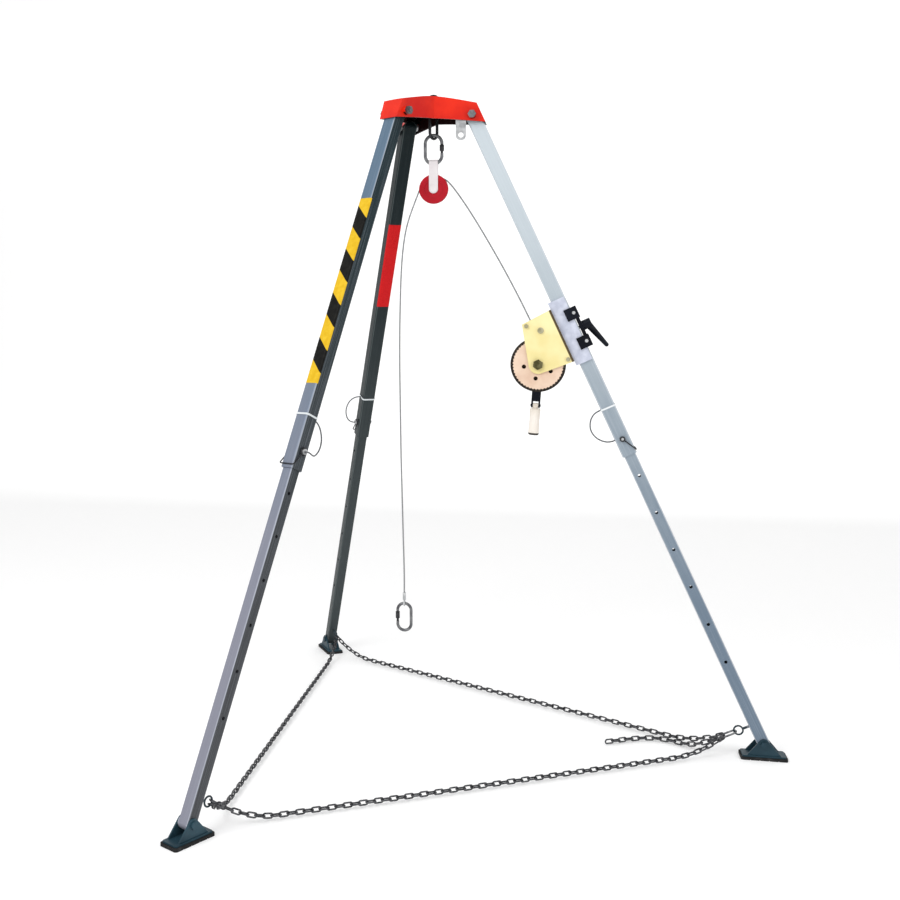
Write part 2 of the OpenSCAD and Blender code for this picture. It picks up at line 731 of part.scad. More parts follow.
// Two runs hook in an eye, on both sides of a place a little above the way in which they leave it
eye_dip = atan(2 * (ring_place[1] - chain_floor) / hang_reach) - 4;
eye_share = 20;
eye_play = 1.5;
function eye_joint(direction, share, way) =
    let (lift = share - eye_dip)
    ring_centre(direction) + ring_r * turned([-cos(lift), 0, sin(lift)], direction)
    - (ring_wire / cos(eye_share) / 2 + eye_play) * way;

// Points a link apart on a route
function route_lengths(route, i = 0, sum = 0) =
    i == len(route) - 1 ? [sum]
    : concat([sum], route_lengths(route, i + 1, sum + norm(route[i + 1] - route[i])));
function route_point(route, lengths, s) =
    let (i = max([for (k = [0:len(route) - 2]) if (lengths[k] <= s) k]))
    route[i] + (route[i + 1] - route[i]) * (s - lengths[i]) / (lengths[i + 1] - lengths[i]);

// Height of a run at a level distance from one of its ends
function run_height(end, s) = chain_floor + (end[2] - chain_floor) * pow(max(0, 1 - s / hang_reach), 2);
run_steps = 160;
function run_route(a, b) =
    let (d = b - a, span = norm([d[0], d[1]]))
    [for (k = [0:run_steps])
        let (t = k / run_steps)
        [a[0] + d[0] * t, a[1] + d[1] * t,
            t < 0.5 ? run_height(a, t * span) : run_height(b, (1 - t) * span)]];

// The joints of a run. A link hooked in a leg's eye lies flat and one in the joining link stands
// upright, so the number of links is even to the joining link, and odd between two eyes
function run_joints(a, b, odd) =
    let (
        route = run_route(a, b),
        lengths = route_lengths(route),
        total = lengths[run_steps],
        n = 2 * ceil((total / chain_pitch - odd) / 2) + odd
    )
    [for (k = [0:n]) route_point(route, lengths, total * k / n)];
left_right = run_joints(
    eye_joint(LEFT, eye_share, leaving(ring_centre(LEFT), quick_inner)),
    quick_joint(-42, leaving(quick_inner, ring_centre(LEFT))), 0);
back_right = run_joints(
    eye_joint(BACK, eye_share, leaving(ring_centre(BACK), quick_inner)),
    quick_joint(42, leaving(quick_inner, ring_centre(BACK))), 0);
left_back = run_joints(
    eye_joint(LEFT, -eye_share, leaving(ring_centre(LEFT), ring_centre(BACK))),
    eye_joint(BACK, -eye_share, leaving(ring_centre(BACK), ring_centre(LEFT))), 1);

module run_part(joints, first, last) {
    for (k = [first:last]) link_between(joints[k], joints[k + 1], k + 1);
}
module run_start(joints) {
    run_part(joints, 0, near_links - 1);
}
module run_end(joints) {
    run_part(joints, len(joints) - 1 - near_links, len(joints) - 2);
}
module run_middle(joints) {
    run_part(joints, near_links, len(joints) - 2 - near_links);
}

chain_grey = [0.42, 0.43, 0.45];
module chain_near_right() {
    color(chain_grey) toward(RIGHT) {
        run_end(left_right);
        run_end(back_right);
    }
}
module chain_near_back() {
    color(chain_grey) toward(RIGHT) {
        run_start(back_right);
        run_end(left_back);
    }
}
module chain_near_left() {
    color(chain_grey) toward(RIGHT) {
        run_start(left_right);
        run_start(left_back);
    }
}
module chain_span(joints) {
    color(chain_grey) toward(RIGHT) run_middle(joints);
}

module joining_link() {
    color([0.85, 0.86, 0.87]) toward(RIGHT)
        translate(quick_hook + (quick_r + quick_straight / 2) * quick_way) rotate([0, -quick_droop, 0])
            rotate([90, 0, 0]) rotate([0, 90, 0]) wire_oval(quick_r, quick_straight, quick_wire);
}

// Links along the spare end, a pitch apart on its route
module chain_tail() {
    route = concat([quick_joint(0, quick_way)], tail_points);
    lengths = route_lengths(route);
    n = floor(lengths[len(lengths) - 1] / chain_pitch);
    color(chain_grey) toward(RIGHT)
        for (k = [0:n - 1])
            link_between(route_point(route, lengths, k * chain_pitch),
                route_point(route, lengths, (k + 1) * chain_pitch), k);
}

// Winch bracket

module winch_bracket() {
    half_w = upper_size / 2 + seat + bracket_side;
    color([0.82, 0.83, 0.84]) on_leg(RIGHT) translate([0, 0, -bracket_u - bracket_l]) difference() {
        translate([-bracket_face, -half_w, 0])
            cube([bracket_face + upper_size / 2 - 4, 2 * half_w, bracket_l]);
        translate([-upper_size / 2 - seat, -upper_size / 2 - seat, -1])
            cube([2 * upper_size, upper_size + 2 * seat, bracket_l + 2]);
    }
}

// Two saddles over the leg's outer half, joined by the strap that carries the clamp lever
jaw_gap = 60;
strap_out = upper_size / 2 + 14;
module clamp_jaw() {
    side_w = upper_size / 2 + 2 * seat + bracket_side;
    outer_w = side_w + jaw_side;
    color([0.07, 0.07, 0.08]) on_leg(RIGHT) difference() {
        union() {
            for (z = [jaw_gap / 2, -jaw_gap / 2 - jaw_l])
                translate([0, -outer_w, z - lever_u]) cube([jaw_out, 2 * outer_w, jaw_l]);
            translate([upper_size / 2 + 2, -14, -lever_u - jaw_gap / 2 - 1])
                cube([strap_out - upper_size / 2 - 2, 28, jaw_gap + 2]);
        }
        translate([-1, -side_w, -lever_u - 200]) cube([upper_size / 2 - 4 + seat + 1, 2 * side_w, 400]);
        translate([-1, -upper_size / 2 - seat, -lever_u - 200])
            cube([upper_size / 2 + seat + 1, upper_size + 2 * seat, 400]);
        translate([0, 0, -lever_u]) rotate([0, 90, 0]) cylinder(h = 100, r = 5 + fit);
    }
}

module clamp_lever() {
    hub_r = 16;
    hub_l = 28;
    thick_r = 12;
    thin_r = 7;
    color([0.06, 0.06, 0.07]) on_leg(RIGHT) translate([0, 0, -lever_u]) {
        rotate([0, 90, 0]) {
            translate([0, 0, upper_size / 2 + seat]) cylinder(h = 30, r = 5);
            translate([0, 0, strap_out + seat]) cylinder(h = hub_l, r = hub_r);
        }
        translate([strap_out + hub_l - thick_r, 0, 0]) rotate([0, 180 - lever_lift, 0]) {
            cylinder(h = lever_l, r1 = thick_r, r2 = thin_r);
            translate([0, 0, lever_l]) sphere(r = thin_r);
        }
    }
}

// Winch

frame_low = -bracket_u - bracket_l + 16;
frame_top = -bracket_u - 22;
pawl_at = pinion_at + [-44, -39];
tie_places = [[-bracket_face - 93, frame_top - 17], [-bracket_face - 15, frame_low + 14]];
tie_r = 4;
stud_r = 5;
module frame_outline() {
    eye_r = 30;
    corner = [-bracket_face - 104, frame_top - 6];
    polygon([
        [-bracket_face, frame_top],
        corner,
        touch_point(corner, drum_at, eye_r, 1),
        touch_point([-bracket_face, frame_low], drum_at, eye_r, -1),
        [-bracket_face, frame_low]
    ]);
    translate(drum_at) circle(eye_r);
}

module winch_frame() {
    color([0.93, 0.86, 0.6]) on_leg(RIGHT) difference() {
        union() {
            slab_y(-front_y, -front_y + plate_t) frame_outline();
            slab_y(rear_y - plate_t, rear_y) frame_outline();
            translate([-bracket_face - plate_t, -front_y, frame_low])
                cube([plate_t, front_y + rear_y, frame_top - frame_low]);
        }
        for (at = [drum_at, pinion_at]) bar_y(at, -100, 100, shaft_d / 2 + fit);
        for (at = tie_places) bar_y(at, -100, 100, tie_r + fit);
        bar_y(pawl_at, 0, 100, stud_r + fit);
    }
}

// Tie bolts with their spacer tubes hold the frame square, and a stud in the rear plate carries the pawl
module frame_bolts() {
    flats = 13;
    color([0.78, 0.76, 0.66]) on_leg(RIGHT) {
        for (at = tie_places) {
            bar_y(at, -front_y - 1, rear_y + 8, tie_r);
            hex_y(at, -front_y - 5.5, -front_y, flats);
            bar_y(at, -front_y + plate_t, rear_y - plate_t, tie_r + 3);
            hex_y(at, rear_y, rear_y + 6.5, flats);
        }
        bar_y(pawl_at, rear_y - plate_t - 3, rear_y + 13, stud_r);
        bar_y(pawl_at, rear_y - plate_t - 4, rear_y - plate_t, stud_r + 3);
    }
}

module drum_axle() {
    color([0.7, 0.68, 0.6]) on_leg(RIGHT) {
        bar_y(drum_at, -front_y - 1, rear_y + 1, shaft_d / 2);
        hex_y(drum_at, -front_y - 9, -front_y, 30);
        hex_y(drum_at, rear_y, rear_y + 9, 30);
    }
}

core_r = wind_r - cable_d / 2 - 2 * seat;
gear_front = -front_y + plate_t + 2;
module drum() {
    color([0.72, 0.72, 0.7]) on_leg(RIGHT) difference() {
        union() {
            bar_y(drum_at, -drum_w / 2, drum_w / 2, core_r);
            for (y = [-drum_w / 2 - flange_t, drum_w / 2]) bar_y(drum_at, y, y + flange_t, flange_r);
            bar_y(drum_at, gear_front + gear_w, -drum_w / 2, 24);
            bar_y(drum_at, drum_w / 2, rear_y - plate_t - 0.5, 18);
        }
        bar_y(drum_at, -100, 100, shaft_d / 2 + fit);
    }
}

module drum_gear() {
    web_holes = 5;
    color([0.9, 0.8, 0.72]) on_leg(RIGHT) difference() {
        slab_y(gear_front, gear_front + gear_w)
            translate(drum_at) rotate(mesh_angle + 180) polygon(gear_outline(drum_teeth));
        bar_y(drum_at, -100, 100, shaft_d / 2 + fit);
        for (k = [0:web_holes - 1])
            bar_y(drum_at + 46 * [cos(k * 72 + 20), sin(k * 72 + 20)], -100, 100, 7);
    }
}

// Outer layer of cable on the drum, as one tube that winds from the rear flange to the front one
exit_angle = atan2(lift_points[0][2] - drum_world[1], lift_points[0][0] - drum_world[0])
    - acos(wind_r / norm([lift_points[0][0] - drum_world[0], lift_points[0][2] - drum_world[1]]));
wind_step = (drum_w - cable_d - 1) / wind_turns;
loop_rings = 24;
function wind_point(k) =
    let (a = exit_angle - k * 360 / loop_rings)
    [drum_world[0] + wind_r * cos(a), k * wind_step / loop_rings - wind_step * wind_turns / 2,
        drum_world[1] + wind_r * sin(a)];
function wind_way(k) =
    let (a = exit_angle - k * 360 / loop_rings) [-sin(a), 0, cos(a)];
wind_rings = wind_turns * loop_rings;
wind_route = concat(
    [wind_point(0) + cable_d * wind_way(0)],
    [for (k = [0:wind_rings]) wind_point(k)],
    [wind_point(wind_rings) - cable_d * wind_way(wind_rings)]
);
least_gap = min([for (i = [0:wind_rings], j = [0:wind_rings]) if (j > i + loop_rings / 2)
    norm(wind_route[i] - wind_route[j])]) - cable_d;
echo(least_gap_in_winding = least_gap);
module cable_winding() {
    color([0.55, 0.56, 0.58]) toward(RIGHT) tube(wind_route, cable_d, 6, [0, 1, 0.01]);
}

module pinion_shaft() {
    teeth_w = gear_w + 3;
    color([0.62, 0.62, 0.64]) on_leg(RIGHT) {
        bar_y(pinion_at, -front_y - 4, rear_y + 38, shaft_d / 2);
        slab_y(gear_front - 1, gear_front - 1 + teeth_w)
            translate(pinion_at) rotate(mesh_angle + 180 / pinion_teeth) polygon(gear_outline(pinion_teeth));
        hex_y(pinion_at, rear_y + 28, rear_y + 38, 32);
    }
}

// Ratchet wheel between its two friction discs, on the shaft behind the rear plate
disc_t = 3;
wheel_t = 6;
wheel_y = rear_y + seat + disc_t + 0.2;
pawl_side = pawl_at - pinion_at;
pawl_bite = atan2(pawl_side[1], pawl_side[0]) + acos((ratchet_r - ratchet_depth / 2) / norm(pawl_side));
tooth_turn = 360 / ratchet_teeth;
module ratchet_wheel() {
    color([0.5, 0.48, 0.42]) on_leg(RIGHT) difference() {
        slab_y(wheel_y, wheel_y + wheel_t) translate(pinion_at)
            polygon([for (k = [0:ratchet_teeth - 1], tip = [0, 1])
                let (
                    a = pawl_bite - (k + tip) * tooth_turn + tip * 0.4,
                    r = ratchet_r - ratchet_depth * (1 - tip)
                )
                r * [cos(a), sin(a)]]);
        bar_y(pinion_at, 0, 100, shaft_d / 2 + fit);
    }
}

module brake_discs() {
    color([0.3, 0.24, 0.2]) on_leg(RIGHT)
        for (y = [rear_y + seat, wheel_y + wheel_t + 0.2]) difference() {
            bar_y(pinion_at, y, y + disc_t, ratchet_r - ratchet_depth - 2);
            bar_y(pinion_at, 0, 100, shaft_d / 2 + fit);
        }
}

module pawl() {
    hub_r = 9;
    clear = 0.7;
    low = ratchet_r - ratchet_depth;
    function polar(r, a) = r * [cos(a), sin(a)];
    color([0.55, 0.52, 0.45]) on_leg(RIGHT) difference() {
        slab_y(wheel_y, wheel_y + wheel_t) {
            translate(pinion_at) polygon([
                polar(low + clear, pawl_bite - 1.5),
                polar(ratchet_r + clear, pawl_bite - tooth_turn - 1),
                touch_point(polar(ratchet_r + clear, pawl_bite - tooth_turn - 1), pawl_side, hub_r, 1),
                touch_point(polar(ratchet_r + 6, pawl_bite - 1.5), pawl_side, hub_r, -1),
                polar(ratchet_r + 6, pawl_bite - 1.5)
            ]);
            translate(pawl_at) circle(hub_r);
        }
        bar_y(pawl_at, 0, 100, stud_r + fit);
    }
}

// Crank, hanging down behind the winch
crank_y = wheel_y + wheel_t + disc_t + 0.7;
crank_mid = crank_y + 4 + crank_t / 2;
ear_out = crank_w / 2;
ear_in = ear_out - 6;
fold_pin_r = 4;
module at_crank() {
    toward(RIGHT) translate([pinion_world[0], 0, pinion_world[1]]) rotate([0, crank_tilt, 0]) children();
}
module crank_arm() {
    color([0.08, 0.08, 0.09]) at_crank() difference() {
        union() {
            bar_y([0, 0], crank_y, crank_y + 4 + crank_t, 20);
            translate([-crank_w / 2, crank_y + 4, -crank_l + 13]) cube([crank_w, crank_t, crank_l - 13]);
            for (x = [-ear_out, ear_in])
                translate([x, 0, 0]) rotate([90, 0, 90]) linear_extrude(ear_out - ear_in) {
                    translate([crank_mid, -crank_l]) circle(8);
                    translate([crank_mid - crank_t / 2, -crank_l]) square([crank_t, 20]);
                }
            translate([-ear_out - 2, crank_mid, -crank_l]) rotate([0, 90, 0])
                cylinder(h = 2 * ear_out + 4, r = fold_pin_r);
        }
        bar_y([0, 0], 0, 200, shaft_d / 2 + fit);
    }
}

module crank_grip() {
    neck = 10;
    color([0.9, 0.88, 0.82]) at_crank() translate([0, crank_mid, -crank_l]) difference() {
        union() {
            translate([-ear_in + seat, 0, 0]) rotate([0, 90, 0]) cylinder(h = 2 * (ear_in - seat), r = 8);
            translate([0, 0, -neck - 4]) cylinder(h = neck + 4, r = ear_in - seat);
            translate([0, 0, -neck - grip_l]) rotate_extrude() polygon([
                [0, 0], [grip_d / 2 - 3, 0], [grip_d / 2, 4], [grip_d / 2 - 1.5, grip_l / 2],
                [grip_d / 2 - 0.5, grip_l - 4], [grip_d / 2 - 3, grip_l], [0, grip_l]
            ]);
        }
        translate([-50, 0, 0]) rotate([0, 90, 0]) cylinder(h = 100, r = fold_pin_r + fit);
    }
}

// Lifting line

gate_lift = 4;
nose_l = 2;
rivet_r = 1.6;
// Carabiner body, upright, with its gate on the +X side
module carabiner_body(r, straight, rod) {
    hinge_z = -straight / 2 + gate_lift;
    nose_z = straight / 2 - nose_l;
    difference() {
        wire_oval(r, straight, rod);
        translate([r - rod, -rod, hinge_z + 3.5]) cube([2 * rod, 2 * rod, nose_z - hinge_z - 3.5]);
        translate([r - rod, -2.5, hinge_z - 5.5]) cube([2 * rod, 5, 20]);
    }
    bar_y([r, hinge_z], -rod / 2 + 0.8, rod / 2 - 0.8, rivet_r);
}

// Gate with its tongue, and the locking sleeve round it
module gate(r, straight, rod) {
    hinge_z = -straight / 2 + gate_lift;
    nose_z = straight / 2 - nose_l;
    gate_r = rod / 2 - 1;
    sleeve_l = 0.5 * straight;
    difference() {
        union() {
            bar_y([r, hinge_z], -2.2, 2.2, 4.4);
            translate([r - 4, -2.2, hinge_z]) cube([8, 4.4, 7]);
            translate([r, 0, hinge_z + 6.5]) cylinder(h = nose_z - 0.5 - hinge_z - 6.5, r = gate_r);
        }
        bar_y([r, hinge_z], -10, 10, rivet_r + fit);
    }
    translate([r, 0, nose_z - 3 - sleeve_l]) difference() {
        cylinder(h = sleeve_l, r = rod / 2 + 2);
        translate([0, 0, -1]) cylinder(h = sleeve_l + 2, r = gate_r + fit);
    }
}

module at_carabiner() {
    toward(RIGHT) translate([eye_x, 0, carabiner_h]) children();
}
module pulley_carabiner() {
    color([0.78, 0.79, 0.8]) at_carabiner() carabiner_body(carabiner_r, carabiner_straight, carabiner_rod);
}
module carabiner_gate() {
    color([0.2, 0.2, 0.22]) at_carabiner() gate(carabiner_r, carabiner_straight, carabiner_rod);
}

// One strap bent over the carabiner, whose two legs are the pulley's cheeks
module pulley_cheeks() {
    bend_h = strap_top - strap_half - strap_t;
    color([0.92, 0.92, 0.9]) toward(RIGHT) difference() {
        intersection() {
            translate([eye_x - strap_w / 2, 0, 0]) rotate([90, 0, 90]) linear_extrude(strap_w) difference() {
                union() {
                    translate([0, bend_h]) circle(strap_half + strap_t);
                    translate([-strap_half - strap_t, sheave_h - strap_w])
                        square([2 * (strap_half + strap_t), bend_h - sheave_h + strap_w]);
                }
                translate([0, bend_h]) circle(strap_half);
                translate([-strap_half, sheave_h - 2 * strap_w])
                    square([2 * strap_half, bend_h - sheave_h + 2 * strap_w]);
            }
            slab_y(-50, 50) {
                translate([eye_x, sheave_h]) circle(strap_w / 2);
                translate([eye_x - strap_w / 2, sheave_h]) square([strap_w, 300]);
            }
        }
        bar_y([eye_x, sheave_h], -50, 50, axle_d / 2 + fit);
    }
}

module pulley_axle() {
    outer = strap_half + strap_t;
    color([0.7, 0.71, 0.73]) toward(RIGHT) {
        bar_y([eye_x, sheave_h], -outer - 1, outer + 1, axle_d / 2);
        bar_y([eye_x, sheave_h], -outer - 4, -outer, axle_d / 2 + 4);
        hex_y([eye_x, sheave_h], outer, outer + 7, axle_d * 1.5);
    }
}

module sheave() {
    groove = sheave_line_r - cable_d / 2 - seat;
    bottom_w = cable_d / 2 + 0.4;
    open_w = sheave_w / 2 - 1.6;
    color([0.72, 0.1, 0.13]) toward(RIGHT) translate([eye_x, 0, sheave_h]) rotate([-90, 0, 0]) difference() {
        rotate_extrude() polygon([
            [axle_d / 2 + fit, -sheave_w / 2], [sheave_r, -sheave_w / 2], [sheave_r, -open_w],
            [groove, -bottom_w], [groove, bottom_w],
            [sheave_r, open_w], [sheave_r, sheave_w / 2], [axle_d / 2 + fit, sheave_w / 2]
        ]);
        for (side = [-1, 1]) translate([0, 0, side * sheave_w / 2]) rotate_extrude()
            translate([axle_d / 2 + 8, -2]) square([sheave_line_r - axle_d / 2 - 20, 4]);
    }
}

cable_grey = [0.55, 0.56, 0.58];
groove_points = [for (a = groove_angles)
    [eye_x + sheave_line_r * cos(a), 0, sheave_h + sheave_line_r * sin(a)]];
module cable_lift() {
    exit = wind_point(0) + (cable_d + seat) * wind_way(0);
    color(cable_grey) toward(RIGHT)
        tube(concat([exit], lift_points, groove_points), cable_d, 8, [0, 1, 0.01]);
}
module cable_hanging() {
    last = groove_points[len(groove_points) - 1];
    start = last + 2 * seat * unit(hang_points[0] - last);
    color(cable_grey) toward(RIGHT)
        tube(concat([start], hang_points, [[hook_x, 0, ferrule_top + seat]]), cable_d, 8, [0, 1, 0.01]);
}

// Pressed ferrule and the thimble eye that holds the hook
thimble_h = ferrule_top - ferrule_l - thimble_r;
module cable_ferrule() {
    color([0.8, 0.8, 0.8]) toward(RIGHT) translate([hook_x, 0, 0]) {
        translate([0, 0, ferrule_top - ferrule_l]) cylinder(h = ferrule_l, r = ferrule_d / 2);
        translate([0, 0, thimble_h]) rotate([0, 0, 90]) bend(thimble_r, thimble_wire, 0, 360);
    }
}

hook_h = thimble_h - thimble_r + thimble_wire / 2 + hook_rod / 2 + seat - hook_r - hook_straight / 2;
module at_hook() {
    toward(RIGHT) translate([hook_x, 0, hook_h]) rotate([0, 0, 180]) children();
}
module hook_carabiner() {
    color([0.6, 0.61, 0.63]) at_hook() carabiner_body(hook_r, hook_straight, hook_rod);
}
module hook_gate() {
    color([0.2, 0.2, 0.22]) at_hook() gate(hook_r, hook_straight, hook_rod);
}

head_cap();
leg_pivot_bolts();
pivot_spacers();
main_eye();
main_eye_nut();
spare_eye();
upper_leg(RIGHT);  // upper_leg_right
upper_leg(BACK);  // upper_leg_back
upper_leg(LEFT);  // upper_leg_left
lower_leg(RIGHT);  // lower_leg_right
lower_leg(BACK);  // lower_leg_back
lower_leg(LEFT);  // lower_leg_left
lock_pin(RIGHT);  // lock_pin_right
lock_pin(BACK);  // lock_pin_back
lock_pin(LEFT);  // lock_pin_left
pin_bail(RIGHT);  // pin_bail_right
pin_bail(BACK);  // pin_bail_back
pin_bail(LEFT);  // pin_bail_left
pin_lanyard(RIGHT);  // pin_lanyard_right
pin_lanyard(BACK);  // pin_lanyard_back
pin_lanyard(LEFT);  // pin_lanyard_left
foot_shoe(RIGHT);  // foot_shoe_right
foot_shoe(BACK);  // foot_shoe_back
foot_shoe(LEFT);  // foot_shoe_left
foot_sole(RIGHT);  // foot_sole_right
foot_sole(BACK);  // foot_sole_back
foot_sole(LEFT);  // foot_sole_left
chain_near_right();
chain_near_back();
chain_near_left();
chain_span(left_right);  // chain_span_left_right
chain_span(back_right);  // chain_span_back_right
chain_span(left_back);  // chain_span_left_back
joining_link();
chain_tail();
winch_bracket();
clamp_jaw();
clamp_lever();
winch_frame();
frame_bolts();
drum_axle();
drum();
drum_gear();
cable_winding();
pinion_shaft();
ratchet_wheel();
brake_discs();
pawl();
crank_arm();
crank_grip();
pulley_carabiner();
carabiner_gate();
pulley_cheeks();
pulley_axle();
sheave();
cable_lift();
cable_hanging();
cable_ferrule();
hook_carabiner();
hook_gate();
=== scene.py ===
"""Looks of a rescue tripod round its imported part: finishes, chain, cable, cords, tapes, studio, camera."""
import math
import bpy
import numpy as np
from mathutils import Matrix, Vector


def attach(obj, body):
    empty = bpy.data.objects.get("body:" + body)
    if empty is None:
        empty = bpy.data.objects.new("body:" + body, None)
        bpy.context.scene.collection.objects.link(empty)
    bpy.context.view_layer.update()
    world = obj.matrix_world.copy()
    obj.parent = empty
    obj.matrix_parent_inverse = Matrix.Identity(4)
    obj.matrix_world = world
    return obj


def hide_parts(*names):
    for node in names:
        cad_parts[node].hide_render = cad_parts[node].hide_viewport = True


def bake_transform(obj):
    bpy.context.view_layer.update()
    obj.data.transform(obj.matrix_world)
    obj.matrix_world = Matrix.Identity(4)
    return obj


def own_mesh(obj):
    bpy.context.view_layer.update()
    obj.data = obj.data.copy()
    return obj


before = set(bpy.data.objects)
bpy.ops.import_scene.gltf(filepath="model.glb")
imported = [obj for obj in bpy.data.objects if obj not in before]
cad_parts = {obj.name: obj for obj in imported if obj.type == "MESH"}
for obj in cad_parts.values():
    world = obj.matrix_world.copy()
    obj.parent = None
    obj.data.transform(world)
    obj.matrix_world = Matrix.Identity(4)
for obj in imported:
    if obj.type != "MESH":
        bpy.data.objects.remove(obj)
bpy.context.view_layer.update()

# Sizes of the part, in metres; heights are above the floor and distances u are down a leg from its pivot

AXIS_X = -0.273184
LEGS = {"right": 0.0, "back": 120.0, "left": 240.0}
LEAN = math.radians(24.2)
PIVOT_R = 0.159
PIVOT_H = 2.08568
LEG_L = 2.234
TUBE = 0.048
TUBE_FILLET = 0.007
LOWER = 0.038
SEAT = 0.0003

# Lock pins, their lanyards and bails
LOCK_U = 1.172
PIN_END = 0.0353
BAND_U = 1.061
BAND_H = 0.006
BAND_T = 0.0015
LANYARD_D = 0.0045
BAIL_WIRE = 0.004
BAIL_REACH = 0.054
BAIL_CORNER = 0.006
BAIL_SIDE_GAP = 0.003
BAIL_FACE_GAP = 0.0006
PIN_HEAD_RING_R = 0.0113
PIN_TIP_RING_R = 0.0073

# Lifting line and winch, as places (x, height) in the upright plane through the winch
CABLE_D = 0.005
SHEAVE = np.array([0.026, 1.84868])
SHEAVE_LINE_R = 0.044
HOOK_X = -0.080
FERRULE_TOP = 0.480
DRUM = np.array([0.37087, 1.2586])
PINION = np.array([0.379658, 0, 1.37026])
CRANK_TILT = math.radians(4.5)
WIND_R = 0.040
WIND_TURNS = 8
WIND_STEP = 0.0055

# Chain, the leg eyes that it hangs in, and the quick link at the right leg
CHAIN_WIRE = 0.005
CHAIN_PITCH = 0.024
CHAIN_GAP = 0.008
CHAIN_FLOOR = 0.0145
HANG_REACH = 0.190
LINK_SLACK = 0.0004
RING_R = 0.014
RING_WIRE = 0.0055
EYE_ARM = 0.035
EYE_RISE = 0.062
EYE_SHARE = math.radians(20)
EYE_TILT = math.radians(4)
EYE_PLAY = 0.0015
RING_X = -LOWER / 2 - EYE_ARM
RING_U = LEG_L - EYE_RISE
QUICK_R = 0.014
QUICK_WIRE = 0.006
QUICK_STRAIGHT = 0.020
QUICK_DROOP = math.radians(25)
QUICK_SPREAD = 42

# Tapes on the upper legs: where each one starts and ends, and the bars of the striped one
TAPE_SPAN = (0.332, 0.963)
BAND_SPAN = (0.352, 0.672)
STRIPE_PERIOD = 0.1515
STRIPE_START = 0.2


def unit(v):
    return np.asarray(v, float) / np.linalg.norm(v)


def turned(p, degrees):
    """A point or direction turned about the vertical."""
    a = math.radians(degrees)
    x, y, z = p
    return np.array([x * math.cos(a) - y * math.sin(a), x * math.sin(a) + y * math.cos(a), z])


def head_frame(p):
    """A point measured from the head's axis, in the row frame."""
    return np.asarray(p, float) + [AXIS_X, 0, 0]


def leg_axes(leg):
    """The head pivot of a leg, and its directions outwards, sideways and up the leg."""
    a = LEGS[leg]
    pivot = head_frame(turned([PIVOT_R, 0, PIVOT_H], a))
    out = turned([math.cos(LEAN), 0, math.sin(LEAN)], a)
    side = turned([0, 1, 0], a)
    up = turned([-math.sin(LEAN), 0, math.cos(LEAN)], a)
    return pivot, out, side, up


def on_leg(leg, x, y, u):
    """The row-frame point at x outwards, y sideways and u down a leg."""
    pivot, out, side, up = leg_axes(leg)
    return pivot + out * x + side * y - up * u


# Curves

def run_lengths(points):
    """How far along a line of points each one lies."""
    steps = np.linalg.norm(np.diff(points, axis=0), axis=1)
    return np.concatenate([[0], np.cumsum(steps)])


def path_length(path):
    return float(run_lengths(path)[-1])


def at_lengths(points, want):
    """The places at the wanted lengths along a line of points."""
    along = run_lengths(points)
    return np.stack([np.interp(want, along, points[:, k]) for k in range(3)], axis=1)


def resample(points, spacing):
    """The same line with even steps of about the spacing."""
    points = np.asarray(points, float)
    total = path_length(points)
    return at_lengths(points, np.linspace(0, total, max(2, int(round(total / spacing)) + 1)))


def spline(points, spacing):
    """A smooth line through the points, with points about the spacing apart."""
    p = np.asarray(points, float)
    ends = np.vstack([2 * p[0] - p[1], p, 2 * p[-1] - p[-2]])
    fine = []
    for a, b, c, d in zip(ends, ends[1:], ends[2:], ends[3:]):
        steps = max(8, int(np.linalg.norm(c - b) / spacing * 4))
        for t in np.arange(steps) / steps:
            fine.append(0.5 * (2 * b + (c - a) * t + (2 * a - 5 * b + 4 * c - d) * t ** 2
                               + (3 * b - a - 3 * c + d) * t ** 3))
    fine.append(p[-1])
    return resample(fine, spacing)


def arc(centre, r, start, end, steps):
    """Points on an arc in the upright plane through the head's axis and the winch."""
    return [np.array([centre[0] + r * math.cos(a), 0, centre[1] + r * math.sin(a)])
            for a in np.radians(np.linspace(start, end, steps))]


# Mesh makers

def make_mesh(name, verts, faces, uvs=None):
    """A smooth mesh object from plain lists; uvs has one pair for each corner of each face."""
    mesh = bpy.data.meshes.new(name)
    mesh.from_pydata([tuple(v) for v in verts], [], faces)
    if uvs is not None:
        layer = mesh.uv_layers.new(name="UVMap")
        layer.data.foreach_set("uv", np.asarray(uvs, np.float32).ravel())
    mesh.polygons.foreach_set("use_smooth", [True] * len(mesh.polygons))
    mesh.update()
    obj = bpy.data.objects.new(name, mesh)
    bpy.context.scene.collection.objects.link(obj)
    return obj


def sweep_frames(path):
    """Two directions square to the path at each point, carried along it without twist."""
    tangents = np.gradient(path, axis=0)
    tangents /= np.linalg.norm(tangents, axis=1)[:, None]
    any_way = [0.31, 0.92, 0.24]
    sides = [unit(np.cross(tangents[0], any_way))]
    for t in tangents[1:]:
        sides.append(unit(sides[-1] - t * (sides[-1] @ t)))
    sides = np.array(sides)
    return sides, np.cross(tangents, sides)


